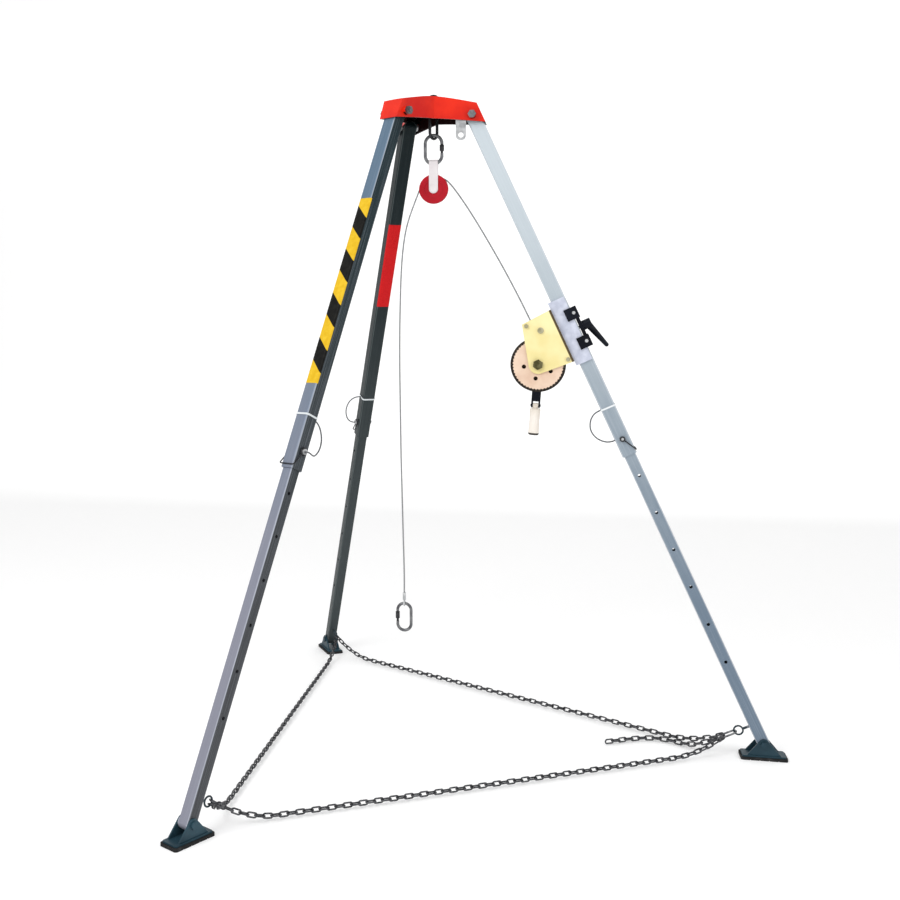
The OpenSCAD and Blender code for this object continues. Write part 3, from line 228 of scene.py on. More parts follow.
def tube(name, path, d, sides=12, caps=True):
    """A round tube along a path; U runs along it in metres, V goes round it."""
    path = np.asarray(path, float)
    a, b = sweep_frames(path)
    along = run_lengths(path)
    angles = np.arange(sides) * 2 * math.pi / sides
    ring = np.cos(angles)[:, None, None] * a + np.sin(angles)[:, None, None] * b
    verts = (path + d / 2 * ring).transpose(1, 0, 2).reshape(-1, 3)
    faces, uvs = [], []
    for i in range(len(path) - 1):
        for k in range(sides):
            n = (k + 1) % sides
            faces.append((i * sides + k, i * sides + n, (i + 1) * sides + n, (i + 1) * sides + k))
            v0, v1 = k / sides, (k + 1) / sides
            uvs += [(along[i], v0), (along[i], v1), (along[i + 1], v1), (along[i + 1], v0)]
    if caps:
        last = (len(path) - 1) * sides
        faces.append(tuple(range(sides - 1, -1, -1)))
        faces.append(tuple(range(last, last + sides)))
        uvs += [(0, 0)] * sides + [(along[-1], 0)] * sides
    return make_mesh(name, verts, faces, uvs)


def joined(name, objs):
    """Several new objects as one."""
    with bpy.context.temp_override(active_object=objs[0], selected_editable_objects=objs):
        bpy.ops.object.join()
    objs[0].name = name
    return objs[0]


# Node helpers

def put(tree, slot, item):
    """A number, a colour, a direction or another node's output into an input."""
    if isinstance(item, Value):
        tree.links.new(item.socket, slot)
    elif isinstance(item, bpy.types.NodeSocket):
        tree.links.new(item, slot)
    elif isinstance(item, (tuple, list, np.ndarray)):
        slot.default_value = tuple(map(float, item)) + (1.0,) * (len(slot.default_value) - len(item))
    else:
        slot.default_value = item


def add_node(tree, kind, settings=None, inputs=None):
    """A node in a tree: first its settings, then its inputs, by name or number."""
    node = tree.nodes.new(kind)
    for name, setting in (settings or {}).items():
        setattr(node, name, setting)
    for name, item in (inputs or {}).items():
        put(tree, node.inputs[name], item)
    return node


class Value:
    """A shader socket that takes part in arithmetic; each operation adds one Math node."""

    def __init__(self, paint, socket):
        self.paint = paint
        self.socket = socket

    def maths(self, operation, *terms):
        return self.paint.node("ShaderNodeMath", {"operation": operation}, dict(enumerate(terms)))

    def __add__(self, other):
        return self.maths("ADD", self, other)

    def __sub__(self, other):
        return self.maths("SUBTRACT", self, other)

    def __rsub__(self, other):
        return self.maths("SUBTRACT", other, self)

    def __mul__(self, other):
        return self.maths("MULTIPLY", self, other)

    __radd__ = __add__
    __rmul__ = __mul__

    def __abs__(self):
        return self.maths("ABSOLUTE", self)

    def root(self):
        return self.maths("SQRT", self)

    def fract(self):
        return self.maths("FRACT", self)

    def pingpong(self, scale):
        return self.maths("PINGPONG", self, scale)

    def larger(self, other):
        return self.maths("MAXIMUM", self, other)

    def step(self, low, high):
        """A smooth rise from 0 at low to 1 at high."""
        return self.paint.node("ShaderNodeMapRange", {"interpolation_type": "SMOOTHSTEP"},
                               {"Value": self, "From Min": low, "From Max": high}, "Result")

    def mix(self, first, second):
        """A colour between two, by this value."""
        return self.paint.node("ShaderNodeMix", {"data_type": "RGBA"},
                               {"Factor": self, "A": first, "B": second}, "Result")


class Paint:
    """A material being built: coordinates, noises and the finished surface."""

    def __init__(self, name):
        self.material = bpy.data.materials.new(name)
        self.material.use_nodes = True
        self.tree = self.material.node_tree
        self.surface = self.tree.nodes["Principled BSDF"]
        self.place = add_node(self.tree, "ShaderNodeTexCoord").outputs

    def node(self, kind, settings, inputs, output=0):
        """What a new node gives at one output, as a value."""
        return Value(self, add_node(self.tree, kind, settings, inputs).outputs[output])

    def along(self, direction, origin=(0, 0, 0)):
        """Distance of the surface point from the origin along a direction."""
        shift = self.node("ShaderNodeVectorMath", {"operation": "SUBTRACT"},
                          {0: self.place["Object"], 1: origin})
        return self.node("ShaderNodeVectorMath", {"operation": "DOT_PRODUCT"},
                         {0: shift, 1: direction}, "Value")

    def uv(self):
        """U and V of the surface point."""
        parts = add_node(self.tree, "ShaderNodeSeparateXYZ", None, {0: self.place["UV"]})
        return Value(self, parts.outputs["X"]), Value(self, parts.outputs["Y"])

    def attribute(self, name):
        return self.node("ShaderNodeAttribute", {"attribute_name": name}, None, "Fac")

    def noise(self, scale, detail=3.0, parts=None):
        """Noise over object space, or over three given values."""
        vector = self.place["Object"]
        if parts is not None:
            vector = self.node("ShaderNodeCombineXYZ", None, dict(enumerate(parts)))
        return self.node("ShaderNodeTexNoise", None,
                         {"Scale": scale, "Detail": detail, "Vector": vector}, "Fac")

    def cells(self, scale):
        """Distance from the middle of small cells that fill object space."""
        return self.node("ShaderNodeTexVoronoi", None,
                         {"Scale": scale, "Vector": self.place["Object"]}, "Distance")

    def drift(self, scale, detail, dark, light):
        """A colour that drifts between two tones."""
        return self.noise(scale, detail).step(0.3, 0.7).mix(dark, light)

    def finish(self, color, roughness, metallic=0.0, bump=None, depth=0.0002, coat=0.0, shine=0.2, glow=0.0):
        """The material with its surface set; glow is the strength of a plain white emission."""
        inputs = {"Base Color": color, "Roughness": roughness, "Metallic": metallic, "Coat Weight": coat,
                  "Specular IOR Level": shine}
        if bump is not None:
            inputs["Normal"] = self.node("ShaderNodeBump", None,
                                         {"Strength": 0.5, "Distance": depth, "Height": bump})
        if glow > 0:
            inputs["Emission Color"] = (1, 1, 1)
            inputs["Emission Strength"] = glow
        for name, item in inputs.items():
            put(self.tree, self.surface.inputs[name], item)
        return self.material


# Finishes

PAINT_PEEL = 240.0


def painted(name, dark, light, roughness, coat=0.05, shine=0.2):
    """Sprayed paint: a slow change of tone, and fine orange peel."""
    p = Paint(name)
    return p.finish(p.drift(9.0, 4.0, dark, light), p.noise(30.0) * 0.2 + (roughness - 0.1),
                    bump=p.noise(PAINT_PEEL, 2.0), depth=0.0003, coat=coat, shine=shine)


def bare_metal(name, dark, light, roughness, grain=60.0, metallic=0.9):
    """Plated or ground metal with a mottled tone and uneven polish."""
    p = Paint(name)
    return p.finish(p.drift(grain, 5.0, dark, light), p.noise(grain * 2, 3.0) * 0.3 + (roughness - 0.15),
                    metallic, bump=p.noise(grain * 8, 2.0), depth=0.0001)


def tube_metal(name, leg, outward_face_shading, sideways_face_shading, corner):
    """Extruded leg tube: draw lines along it, a painted highlight along its corners, and its faces in two
    sets. Each set has a tone near the head and one near the foot; these tones are painted light, shade and
    reflections, and the second set is on the faces that look sideways. The chain eye, which stands out from
    the tube, is dark."""
    pivot, out, side, up = leg_axes(leg)
    p = Paint(name)
    x = p.along(out, pivot)
    y = p.along(side, pivot)
    down = p.along(-up, pivot)
    lines = p.noise(1.0, 4.0, (x * 900.0, y * 900.0, down * 3.0))
    cloud = p.noise(1.0, 4.0, (x * 25.0, y * 25.0, down * 6.0))
    fall = (down + cloud * 0.5 - 0.25).step(0.1, 1.9)
    split = abs(y) - abs(x)
    # Painted light, shade and reflections: one pair of tones on the faces that look outwards or inwards,
    # another on those that look sideways
    color = split.step(-0.0008, 0.0008).mix(fall.mix(*outward_face_shading), fall.mix(*sideways_face_shading))
    # Painted highlight along the rounded corners, patchy with the cloud noise
    painted_corner_highlight = (1.0 - abs(split).step(0.0, 0.0035)) * (cloud * 0.6 + 0.3)
    color = (lines.step(0.5, 0.8) * 0.3).mix(painted_corner_highlight.mix(color, corner), corner)
    eye_edge = x.step(-0.027, -0.025)
    color = eye_edge.mix((0.03, 0.045, 0.055), color)
    return p.finish(color, lines * 0.25 + 0.28, 0.2, bump=lines, depth=0.0001)


def wire_rope(name, dark, light, lay, strands):
    """Stranded cable: strands wind round it as it runs."""
    p = Paint(name)
    u, v = p.uv()
    crown = (u * (1.0 / lay) + v * float(strands)).fract().pingpong(0.5) * 2.0
    return p.finish(crown.step(0.0, 0.7).mix(dark, light), 0.38, 0.85, bump=crown, depth=0.0012)


def braided(name, dark, light, lay, strands):
    """Braided cord: two sets of strands that cross."""
    p = Paint(name)
    u, v = p.uv()
    one = (u * (1.0 / lay) + v * float(strands)).fract().pingpong(0.5)
    two = (u * (1.0 / lay) - v * float(strands)).fract().pingpong(0.5)
    weave = one.larger(two) * 2.0
    return p.finish(weave.step(0.1, 0.9).mix(dark, light), 0.75, bump=weave, depth=0.0008)


def hazard_stripes(name, leg):
    """Warning tape: slanting bars down the leg's outer face, with a little wear."""
    pivot, _, side, up = leg_axes(leg)
    p = Paint(name)
    slant = p.along(-up, pivot) - TAPE_SPAN[0] - p.along(side, pivot)
    bar = (slant * (1.0 / STRIPE_PERIOD) + STRIPE_START).fract()
    black = bar.step(0.495, 0.505) - bar.step(0.985, 0.995)
    wear = p.noise(70.0, 4.0).step(0.25, 0.8)
    yellow = wear.mix((0.66, 0.40, 0.012), (0.76, 0.50, 0.03))
    ink = wear.mix((0.004, 0.004, 0.004), (0.012, 0.012, 0.010))
    return p.finish(black.mix(yellow, ink), p.noise(40.0) * 0.15 + 0.4,
                    bump=p.noise(350.0, 2.0), depth=0.0001, shine=0.08)


def reflective_band(name):
    """Red reflecting sheet: a fine honeycomb under a clear face."""
    p = Paint(name)
    cell = p.cells(260.0).step(0.15, 0.6)
    red = p.drift(18.0, 3.0, (0.40, 0.005, 0.008), (0.54, 0.008, 0.012))
    return p.finish(cell.mix(red, (0.58, 0.012, 0.014)), 0.4, bump=cell, depth=0.0001, shine=0.08)


def rubber(name):
    """Black rubber with dust on it."""
    p = Paint(name)
    dust = p.noise(45.0, 5.0).step(0.45, 0.8)
    return p.finish(dust.mix((0.012, 0.012, 0.013), (0.045, 0.045, 0.045)), p.noise(80.0) * 0.15 + 0.7,
                    bump=p.noise(600.0, 2.0), depth=0.0003)


def head_paint(name):
    """Red paint on the head's sheet, with painted shade on its inside."""
    p = Paint(name)
    inside = p.attribute("inside")
    red = p.drift(9.0, 4.0, (0.56, 0.006, 0.002), (0.74, 0.022, 0.005))
    # Painted shade: near black where the inside attribute is set, with no coat there
    return p.finish(inside.mix(red, (0.012, 0.002, 0.002)), p.noise(30.0) * 0.2 + 0.26,
                    bump=p.noise(PAINT_PEEL, 2.0), depth=0.0003, coat=0.1 - inside * 0.1)


def winch_plate(name):
    """Cream paint on the folded frame, with a painted shadow line along the fold by the leg, where it meets
    the bracket.
    """
    pivot, out, _, _ = leg_axes("right")
    p = Paint(name)
    cream = p.drift(9.0, 4.0, (0.76, 0.65, 0.28), (0.88, 0.78, 0.42))
    # Painted shadow: a dark line where the frame meets the bracket
    fold = p.along(out, pivot).step(-0.0430, -0.0415)
    return p.finish(fold.mix(cream, (0.08, 0.055, 0.025)), p.noise(30.0) * 0.2 + 0.34,
                    bump=p.noise(PAINT_PEEL, 2.0), depth=0.0003, coat=0.05)


def gear_face(name):
    """Pinkish paint on the gear's disc; the teeth round it are dark."""
    p = Paint(name)
    x = p.along((1, 0, 0), head_frame((DRUM[0], 0, 0)))
    z = p.along((0, 0, 1), (0, 0, DRUM[1]))
    teeth = (x * x + z * z).root().step(0.0805, 0.0820)
    pink = p.drift(12.0, 4.0, (0.66, 0.46, 0.34), (0.80, 0.62, 0.48))
    # Dark tone for the teeth beyond the disc's paint
    dark_teeth_tone = p.drift(60.0, 4.0, (0.02, 0.014, 0.01), (0.06, 0.045, 0.03))
    return p.finish(teeth.mix(pink, dark_teeth_tone), p.noise(40.0) * 0.2 + 0.35,
                    bump=p.noise(260.0, 2.0), depth=0.0003, coat=0.05)


def grip_plastic(name):
    """Cream plastic, dark at the grip's free end: its end cap, with painted shade on it."""
    p = Paint(name)
    down = p.along((-math.sin(CRANK_TILT), 0, -math.cos(CRANK_TILT)), head_frame(PINION))
    cream = p.drift(14.0, 3.0, (0.76, 0.69, 0.60), (0.86, 0.80, 0.73))
    # Dark end cap and painted shade at the grip's free end
    free_end = down.step(0.344, 0.346)
    return p.finish(free_end.mix(cream, (0.04, 0.035, 0.03)), p.noise(60.0) * 0.2 + 0.35,
                    bump=p.noise(300.0, 2.0), depth=0.0003, coat=0.05)


# Leg tones near the head and near the foot, painted light, shade and reflections that differ from leg to leg:
# first on the faces that look outwards or inwards, then on those that look sideways
RIGHT_TONES = ((0.40, 0.46, 0.50), (0.16, 0.18, 0.21)), ((0.52, 0.58, 0.62), (0.14, 0.19, 0.25))
LEFT_TONES = ((0.10, 0.16, 0.23), (0.24, 0.245, 0.30)), ((0.004, 0.020, 0.026), (0.055, 0.058, 0.064))
BACK_TONES = ((0.004, 0.011, 0.013), (0.045, 0.055, 0.058)), ((0.003, 0.009, 0.011), (0.035, 0.045, 0.048))
# The last colour for each leg tube is its painted corner highlight, which the draw lines also lean towards
FINISHES = (
    head_paint("red_paint"),
    tube_metal("tube_right", "right", *RIGHT_TONES, (0.74, 0.78, 0.84)),
    tube_metal("tube_left", "left", *LEFT_TONES, (0.56, 0.60, 0.68)),
    tube_metal("tube_back", "back", *BACK_TONES, (0.10, 0.12, 0.12)),
    bare_metal("zinc", (0.42, 0.43, 0.44), (0.66, 0.67, 0.68), 0.36),
    bare_metal("mid_steel", (0.10, 0.10, 0.11), (0.24, 0.245, 0.25), 0.36),
    bare_metal("dark_steel", (0.018, 0.019, 0.021), (0.06, 0.06, 0.065), 0.38),
    bare_metal("chain_steel", (0.035, 0.036, 0.04), (0.13, 0.132, 0.14), 0.45, grain=90.0),
    bare_metal("olive_steel", (0.07, 0.065, 0.025), (0.24, 0.22, 0.11), 0.4),
    bare_metal("bolt_steel", (0.34, 0.31, 0.18), (0.56, 0.52, 0.36), 0.4),
    bare_metal("bracket_metal", (0.50, 0.53, 0.64), (0.66, 0.69, 0.80), 0.42, grain=40.0, metallic=0.25),
    painted("foot_paint", (0.012, 0.036, 0.052), (0.026, 0.066, 0.090), 0.45),
    painted("black_paint", (0.003, 0.004, 0.007), (0.008, 0.010, 0.018), 0.34, shine=0.1),
    painted("guard_paint", (0.012, 0.009, 0.007), (0.035, 0.026, 0.02), 0.5),
    painted("strap_paint", (0.74, 0.68, 0.69), (0.86, 0.82, 0.83), 0.35),
    painted("sheave_plastic", (0.40, 0.003, 0.012), (0.54, 0.007, 0.024), 0.34),
    painted("band_plastic", (0.62, 0.66, 0.68), (0.76, 0.79, 0.81), 0.5),
    painted("friction", (0.10, 0.07, 0.05), (0.20, 0.15, 0.11), 0.8, coat=0.0),
    winch_plate("winch_paint"),
    gear_face("gear_paint"),
    grip_plastic("grip_plastic"),
    rubber("sole_rubber"),
    wire_rope("cable_steel", (0.05, 0.05, 0.052), (0.42, 0.43, 0.44), lay=0.03, strands=6),
    braided("lanyard_cord", (0.03, 0.033, 0.036), (0.16, 0.165, 0.18), lay=0.006, strands=4),
    hazard_stripes("hazard_tape", "left"),
    reflective_band("red_band"),
)
# A name that the loaded part already has for a slot gets a number after a dot
MATERIALS = {finish.name.split(".")[0]: finish for finish in FINISHES}


def dress(obj, material):
    """One material on an object."""
    obj.data.materials.clear()
    obj.data.materials.append(MATERIALS[material])


# The main eye and its nut are dark steel, which paints the shade they hang in under the head
NODE_LOOKS = {
    "head_cap": "red_paint", "leg_pivot_bolts": "mid_steel", "pivot_spacers": "zinc",
    "main_eye": "dark_steel", "main_eye_nut": "dark_steel", "spare_eye": "zinc", "joining_link": "mid_steel",
    "winch_bracket": "bracket_metal", "clamp_jaw": "black_paint", "clamp_lever": "black_paint",
    "winch_frame": "winch_paint", "frame_bolts": "bolt_steel", "drum_axle": "olive_steel", "drum": "zinc",
    "drum_gear": "gear_paint", "pinion_shaft": "bolt_steel", "ratchet_wheel": "zinc",
    "brake_discs": "friction", "pawl": "zinc", "crank_arm": "black_paint", "crank_grip": "grip_plastic",
    "pulley_carabiner": "mid_steel", "carabiner_gate": "dark_steel", "pulley_cheeks": "strap_paint",
    "pulley_axle": "strap_paint", "sheave": "sheave_plastic", "cable_ferrule": "zinc",
    "hook_carabiner": "mid_steel", "hook_gate": "dark_steel",
}
for leg in LEGS:
    NODE_LOOKS.update({
        "upper_leg_" + leg: "tube_" + leg, "lower_leg_" + leg: "tube_" + leg, "lock_pin_" + leg: "zinc",
        "foot_shoe_" + leg: "foot_paint", "foot_sole_" + leg: "sole_rubber",
    })
for node_name, look in NODE_LOOKS.items():
    dress(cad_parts[node_name], look)


def mark_inside(obj):
    """An attribute on a three-armed shell's faces, the mask of its painted shade: 1 where they look down or
    towards an arm's middle.
    """
    marks = []
    for face in obj.data.polygons:
        place = np.array(face.center) - head_frame((0, 0, 0))
        bearing = math.degrees(math.atan2(place[1], place[0]))
        arm = min(LEGS.values(), key=lambda a: abs((bearing - a + 180) % 360 - 180))
        out, side, up = turned(face.normal, -arm)
        inwards = side * turned(place, -arm)[1] < -1e-4 and abs(side) > 0.5
        marks.append(float(up < -0.5 or inwards or out < -0.8))
    obj.data.attributes.new("inside", "FLOAT", "FACE").data.foreach_set("value", marks)


mark_inside(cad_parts["head_cap"])


# Lifting cable, in four pieces: on the drum, from the winch, over the sheave, and down to the hook

LIFT_POINTS = [
    (0.376, -0.021, 1.341), (0.343, -0.020, 1.410), (0.309, -0.018, 1.480), (0.272, -0.015, 1.552),
    (0.233, -0.012, 1.624), (0.192, -0.008, 1.696), (0.150, -0.005, 1.766), (0.114, -0.003, 1.821),
    (0.087, -0.001, 1.858), (0.067, 0.0, 1.878),
]
HANG_POINTS = [
    (-0.039, 0, 1.804), (-0.058, 0, 1.752), (-0.071, 0, 1.702), (-0.080, 0, 1.640), (-0.086, 0, 1.560),
    (-0.089, 0, 1.480), (-0.091, 0, 1.400), (-0.092, 0, 1.310), (-0.092, 0, 1.220), (-0.091, 0, 1.130),
    (-0.090, 0, 1.040), (-0.089, 0, 0.950), (-0.087, 0, 0.860), (-0.085, 0, 0.770), (-0.083, 0, 0.680),
    (-0.081, 0, 0.600), (-0.080, 0, 0.540),
]
# The cable is divided at the lift point with this number
DIVIDED_AT = 7
CABLE_SPACING = 0.006
WIND_POINTS = 48
GROOVE_FROM = 65
GROOVE_TO = 158
toward_drum = np.array([LIFT_POINTS[0][0], LIFT_POINTS[0][2]]) - DRUM
EXIT_ANGLE = math.atan2(toward_drum[1], toward_drum[0]) - math.acos(WIND_R / np.linalg.norm(toward_drum))
EXIT_WAY = np.array([-math.sin(EXIT_ANGLE), 0, math.cos(EXIT_ANGLE)])


def wind_point(turns):
    """A point on the drum's outer layer, that many turns back from where the cable leaves."""
    a = EXIT_ANGLE - turns * 2 * math.pi
    y = (turns - WIND_TURNS / 2) * WIND_STEP
    return np.array([DRUM[0] + WIND_R * math.cos(a), y, DRUM[1] + WIND_R * math.sin(a)])


def cable(name, path):
    """One run of the cable."""
    obj = tube(name, path, CABLE_D)
    dress(obj, "cable_steel")
    return obj


wind_path = [wind_point(0) + CABLE_D * EXIT_WAY]
wind_path += [wind_point(t) for t in np.linspace(0, WIND_TURNS, WIND_POINTS * WIND_TURNS)]
winding = tube("winding", [head_frame(p) for p in wind_path], CABLE_D, 8)
dress(winding, "cable_steel")
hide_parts("cable_winding")
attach(winding, "drum")

groove = arc(SHEAVE, SHEAVE_LINE_R, GROOVE_FROM, GROOVE_TO, 40)
lift_start = wind_point(0) + (CABLE_D + SEAT) * EXIT_WAY
lift_path = spline([head_frame(p) for p in [lift_start] + LIFT_POINTS + groove[:2]], CABLE_SPACING)
divide = int(np.argmin(np.linalg.norm(lift_path - head_frame(LIFT_POINTS[DIVIDED_AT]), axis=1)))
winch_path = lift_path[:divide + 1]
sheave_path = np.vstack([lift_path[divide:-1], [head_frame(p) for p in groove[1:]]])
hang_route = [groove[-1]] + HANG_POINTS + [(HOOK_X, 0, FERRULE_TOP)]
hang_path = spline([head_frame(p) for p in hang_route], CABLE_SPACING)

winch_cable = cable("cable_from_winch", winch_path)
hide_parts("cable_lift")
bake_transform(winch_cable)

sheave_cable = cable("cable_over_sheave", sheave_path)
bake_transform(sheave_cable)

hang_cable = cable("cable_to_hook", hang_path)
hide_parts("cable_hanging")
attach(hang_cable, "pulley")
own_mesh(hang_cable)


# Chain

EYE_R = PIVOT_R + RING_U * math.sin(LEAN) + RING_X * math.cos(LEAN)
EYE_H = PIVOT_H - RING_U * math.cos(LEAN) + RING_X * math.sin(LEAN)
EYE_DIP = math.atan(2 * (EYE_H - CHAIN_FLOOR) / HANG_REACH) - EYE_TILT
QUICK_WAY = np.array([-math.cos(QUICK_DROOP), 0, -math.sin(QUICK_DROOP)])


def ring_centre(leg):
    return turned([EYE_R, 0, EYE_H], LEGS[leg])


QUICK_HOOK = ring_centre("right") + (RING_R - RING_WIRE / 2 - QUICK_WIRE / 2 - SEAT) * QUICK_WAY
QUICK_INNER = QUICK_HOOK + (QUICK_R + QUICK_STRAIGHT) * QUICK_WAY


def leaving(start, end):
    """The way in which a run leaves one place for another, falling towards the floor."""
    d = end - start
    level = unit([d[0], d[1], 0])
    return unit(level - [0, 0, 2 * (start[2] - CHAIN_FLOOR) / HANG_REACH])


def eye_joint(leg, share, target):
    """Where a run's first link hooks in a leg's eye."""
    lift = share - EYE_DIP
    wire = ring_centre(leg) + RING_R * turned([-math.cos(lift), 0, math.sin(lift)], LEGS[leg])
    return wire - (RING_WIRE / math.cos(EYE_SHARE) / 2 + EYE_PLAY) * leaving(ring_centre(leg), target)


def quick_joint(bearing, way):
    """Where a link hooks in the joining link's inner bend."""
    a = math.radians(bearing)
    wire = QUICK_INNER + QUICK_R * (math.cos(a) * QUICK_WAY + math.sin(a) * np.array([0, 1, 0]))
    return wire - (QUICK_WIRE / 2 + LINK_SLACK) * way


def run_joints(start, end, odd):
    """The joints of one run, which comes down from both ends and runs low over the floor between them."""
    t = np.linspace(0, 1, 161)
    span = math.hypot(*(end - start)[:2])
    route = start + (end - start) * t[:, None]
    near = np.where(t < 0.5, t, 1 - t) * span
    rise = np.where(t < 0.5, start[2], end[2]) - CHAIN_FLOOR
    route[:, 2] = CHAIN_FLOOR + rise * np.maximum(0, 1 - near / HANG_REACH) ** 2
    total = path_length(route)
    n = 2 * math.ceil((total / CHAIN_PITCH - odd) / 2) + odd
    return at_lengths(route, np.linspace(0, total, n + 1))


def run_to_right(leg, bearing):
    """The joints of the run from a leg's eye to the joining link at the right leg."""
    return run_joints(eye_joint(leg, EYE_SHARE, QUICK_INNER),
                      quick_joint(bearing, leaving(QUICK_INNER, ring_centre(leg))), 0)


RUNS = {
    "left_right": run_to_right("left", -QUICK_SPREAD),
    "back_right": run_to_right("back", QUICK_SPREAD),
    "left_back": run_joints(eye_joint("left", -EYE_SHARE, ring_centre("back")),
                            eye_joint("back", -EYE_SHARE, ring_centre("left")), 1),
}
TAIL_POINTS = [
    (0.930, 0, 0.0495), (0.908, 0.003, 0.0385), (0.886, 0.010, 0.028), (0.865, 0.021, 0.0195),
    (0.845, 0.035, 0.0135), (0.824, 0.050, 0.011), (0.800, 0.064, 0.011), (0.775, 0.074, 0.011),
    (0.748, 0.078, 0.011), (0.718, 0.074, 0.011), (0.686, 0.063, 0.011), (0.650, 0.046, 0.011),
    (0.612, 0.025, 0.011), (0.576, 0.005, 0.011),
]
tail_line = np.array([quick_joint(0, QUICK_WAY)] + [np.array(point) for point in TAIL_POINTS])
TAIL = at_lengths(tail_line, np.arange(int(path_length(tail_line) / CHAIN_PITCH) + 1) * CHAIN_PITCH)


def link_tree():
    """Geometry nodes: one round-wire link, placed and turned on every point."""
    tree = bpy.data.node_groups.new("chain_links", "GeometryNodeTree")
    face = tree.interface
    face.new_socket("Geometry", in_out="INPUT", socket_type="NodeSocketGeometry")
    for name in ("Wire Radius", "Bend Radius", "Half Straight"):
        face.new_socket(name, in_out="INPUT", socket_type="NodeSocketFloat")
    face.new_socket("Material", in_out="INPUT", socket_type="NodeSocketMaterial")
    face.new_socket("Geometry", in_out="OUTPUT", socket_type="NodeSocketGeometry")
    given = add_node(tree, "NodeGroupInput").outputs

    def made(kind, settings=None, inputs=None):
        return add_node(tree, kind, settings, inputs).outputs

    loop = made("GeometryNodeCurvePrimitiveCircle", None, {"Resolution": 32, "Radius": given["Bend Radius"]})
    place = made("ShaderNodeSeparateXYZ", None, {0: made("GeometryNodeInputPosition")[0]})
    half = made("ShaderNodeMath", {"operation": "SIGN"}, {0: place["X"]})
    stretch_x = made("ShaderNodeMath", {"operation": "MULTIPLY"}, {0: half[0], 1: given["Half Straight"]})
    offset = made("ShaderNodeCombineXYZ", None, {"X": stretch_x[0]})
    route = made("GeometryNodeSetPosition", None, {"Geometry": loop["Curve"], "Offset": offset[0]})
    wire = made("GeometryNodeCurvePrimitiveCircle", None, {"Resolution": 10, "Radius": given["Wire Radius"]})
    solid = made("GeometryNodeCurveToMesh", None, {"Curve": route[0], "Profile Curve": wire["Curve"]})
    turn = made("GeometryNodeInputNamedAttribute", {"data_type": "FLOAT_VECTOR"}, {"Name": "turn"})
    rotation = made("FunctionNodeEulerToRotation", None, {0: turn["Attribute"]})
    copies = made("GeometryNodeInstanceOnPoints", None,
                  {"Points": given["Geometry"], "Instance": solid[0], "Rotation": rotation[0]})
    real = made("GeometryNodeRealizeInstances", None, {0: copies[0]})
    coat = made("GeometryNodeSetMaterial", None, {"Geometry": real[0], "Material": given["Material"]})
    add_node(tree, "NodeGroupOutput", None, {0: coat[0]})
    return tree


LINK_TREE = link_tree()


def chain(name, joints, first):
    """One chain piece with a link between each two joints; links with an even number stand upright."""
    centres, turns = [], []
    for k, (a, b) in enumerate(zip(joints, joints[1:])):
        d = unit(b - a)
        roll = math.pi / 2 * (1 - (first + k) % 2)
        centres.append(head_frame((a + b) / 2))
        turns.append((roll, -math.asin(d[2]), math.atan2(d[1], d[0])))
    spacing = float(np.mean(np.linalg.norm(np.diff(joints, axis=0), axis=1)))
    points = make_mesh(name + "_points", centres, [])
    turn = points.data.attributes.new("turn", "FLOAT_VECTOR", "POINT")
    turn.data.foreach_set("vector", np.array(turns, np.float32).ravel())
    modifier = points.modifiers.new("links", "NODES")
    modifier.node_group = LINK_TREE
    sizes = {"Wire Radius": CHAIN_WIRE / 2, "Bend Radius": (CHAIN_GAP + CHAIN_WIRE) / 2,
             "Half Straight": (spacing + LINK_SLACK - CHAIN_GAP) / 2, "Material": MATERIALS["chain_steel"]}
    for item in LINK_TREE.interface.items_tree:
        if item.in_out == "INPUT" and item.name in sizes:
            modifier[item.identifier] = sizes[item.name]
    bpy.context.view_layer.update()
    depsgraph = bpy.context.evaluated_depsgraph_get()
    mesh = bpy.data.meshes.new_from_object(points.evaluated_get(depsgraph), depsgraph=depsgraph)
    bpy.data.objects.remove(points)
    mesh.polygons.foreach_set("use_smooth", [True] * len(mesh.polygons))
    mesh.name = name
    obj = bpy.data.objects.new(name, mesh)
    bpy.context.scene.collection.objects.link(obj)
    return obj


# Along a run, the links from each end up to the second distance make one piece, and those from there to the
# middle of the run another
SLIDE_FROM = 0.06
SLIDE_TO = 0.52


def stretch(name, run, start, end):
    """The links between two joint numbers of a run."""
    low, high = sorted((start, end))
    return chain(name, RUNS[run][low:high + 1], low + 1)


for run, joints in RUNS.items():
    first, second = run.split("_")
    n = len(joints) - 1
    middle = n // 2
    for leg, outer, step in ((first, 0, 1), (second, n, -1)):
        held = outer + step * round(SLIDE_FROM / CHAIN_PITCH)
        cut = outer + step * round(SLIDE_TO / CHAIN_PITCH)
        slides = stretch("chain_" + run + "_slide_" + leg, run, outer, cut)
        folds = stretch("chain_" + run + "_fold_" + leg, run, cut, middle)
        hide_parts("chain_near_" + leg)
        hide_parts("chain_span_" + run)
        "lower_" + leg
        "upper_" + leg
        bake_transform(slides)
        "upper_" + leg
        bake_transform(folds)

tail = chain("chain_tail_links", TAIL, 0)
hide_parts("chain_tail")
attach(tail, "lower_right")


# Lock pin lanyards and bails

